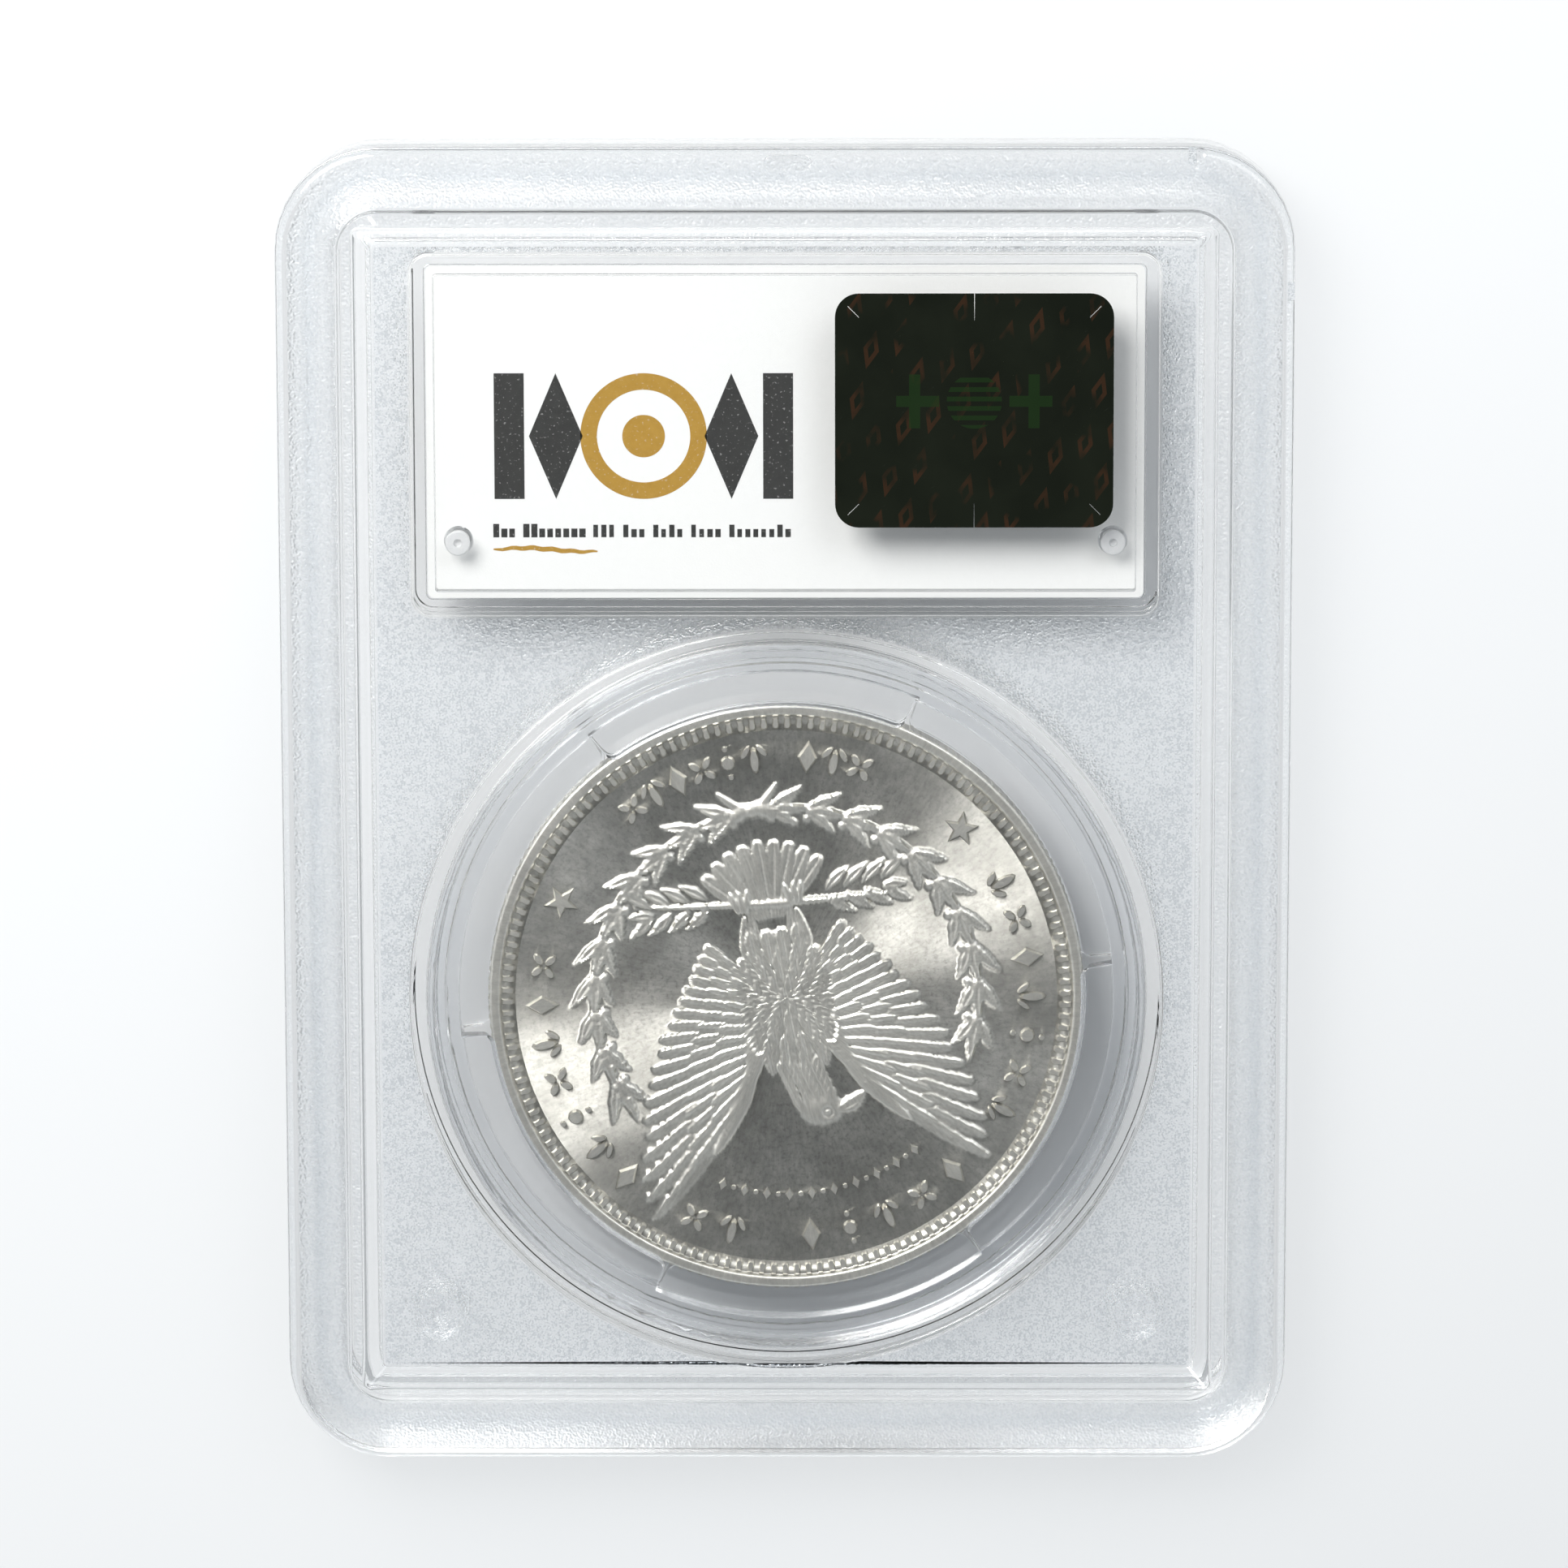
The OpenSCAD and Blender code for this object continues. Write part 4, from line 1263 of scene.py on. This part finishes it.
def light():
    """A light tent: bright pale sides, a dim opening overhead and a lamp at the upper left."""
    world = bpy.data.worlds.new("studio")
    bpy.context.scene.world = world
    world.use_nodes = True
    tree = world.node_tree
    sky = tree.nodes["Background"]
    sky.inputs["Color"].default_value = (0.925, 0.97, 1.0, 1.0)
    up = tree.nodes.new("ShaderNodeSeparateXYZ")
    tree.links.new(tree.nodes.new("ShaderNodeTexCoord").outputs["Generated"], up.inputs[0])
    fade = tree.nodes.new("ShaderNodeValToRGB")
    set_stops(fade.color_ramp, TENT)
    tree.links.new(up.outputs["Z"], fade.inputs[0])
    tree.links.new(fade.outputs[0], sky.inputs["Strength"])
    softbox("key", (-0.18, 0.25, 0.34), 1.78, (1.0, 0.99, 0.965))
    softbox("fill", (0.2, 0.28, 0.36), 0.42, (0.96, 0.98, 1.0))


def camera():
    """Looks down at the back face from a little towards the label end."""
    dist, tilt, side, roll = 0.486, math.radians(10.01), math.radians(0.58), math.radians(-0.12)
    aim = Vector((-0.0001, 0.0019, BACK_WINDOW_Z * MM))
    eye = aim + Vector((dist * math.sin(side) * math.cos(tilt), dist * math.sin(tilt),
                        dist * math.cos(tilt) * math.cos(side)))
    back = (eye - aim).normalized()
    right = Vector((0, 1, 0)).cross(back).normalized()
    up = back.cross(right)
    c, n = math.cos(roll), math.sin(roll)
    cam = bpy.data.cameras.new("camera")
    cam.sensor_width, cam.lens = 36.0, 36.0 * 9452 / 1932
    cam.clip_start, cam.clip_end = 0.01, 20.0
    obj = put("camera", cam)
    obj.matrix_world = Matrix((right * c + up * n, up * c - right * n, back)).transposed().to_4x4()
    obj.location = eye
    bpy.context.scene.camera = obj


# ---------------------------------------------------------------- making

def enter(pieces, body, node=None):
    """Rides each piece on its body, and hides the node that it stands in for."""
    for piece in pieces:
        if node:
            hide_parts(node)
        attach(piece, body)


def make_plastic():
    polished, edge = polished_plastic("polished_plastic", 0.97), polished_plastic("edge_plastic", 0.9)
    # The second colour of each frost is its painted shade; the grained floor's is painted darker still.
    frosted = frosted_plastic("frosted_plastic", (0.83, 0.855, 0.88), 0.26, 0.998, 1.0)
    grained = frosted_plastic("grained_plastic", (0.6, 0.635, 0.67), 0.2, 0.95, 1.35)
    skins = [polished, frosted, grained, edge]
    enter([back_shell(skins), gate_scar(polished)], "slab", "back_shell")
    enter([front_shell(skins + [scuffed_plastic()])], "slab", "front_shell")
    clear = ring_plastic()
    for end, turn, up in (("back", FIRST_TAB, 1), ("front", FIRST_TAB + math.pi / 3, -1)):
        enter([ring_half(end + "_ring_clear", clear, turn, up)], "slab", end + "_coin_ring")
    return frosted


def make_coin():
    silver = struck_silver("raised_silver", 0.0)
    fields = [struck_silver("field_silver", 1.0), silver]
    enter([coin_rim(silver), coin_beads(silver), coin_legend(silver), coin_motto(silver), coin_reeds(silver),
           coin_face("coin_back_face", fields, 1, draw_back, 128, 640),
           coin_face("coin_front_face", fields, -1, draw_front, 96, 480)], "coin", "coin")


def make_label():
    charcoal = print_ink("charcoal_ink", (0.012, 0.012, 0.0115), (0.026, 0.026, 0.024))
    ochre = print_ink("ochre_ink", (0.4, 0.215, 0.02), (0.5, 0.29, 0.04))
    dark, gold = emblem()
    enter([printed("emblem_charcoal", dark, charcoal), printed("emblem_ochre", gold, ochre),
           printed("small_print", small_print(), charcoal), printed("underline", [underline()], ochre)],
          "slab")


def main():
    scene = bpy.context.scene
    scene.view_settings.view_transform = "Standard"
    cycles = scene.cycles
    cycles.max_bounces = cycles.transmission_bounces = 24
    cycles.glossy_bounces, cycles.diffuse_bounces, cycles.transparent_max_bounces = 8, 4, 40
    camera()
    stage(pale_floor())
    light()
    frosted = make_plastic()
    make_coin()
    make_label()
    enter([sticker(sticker_foil())], "slab", "security_sticker")
    for node, mat in (("weld_seam", frosted), ("label_card", label_paper())):
        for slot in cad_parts[node].material_slots:
            slot.material = mat


main()
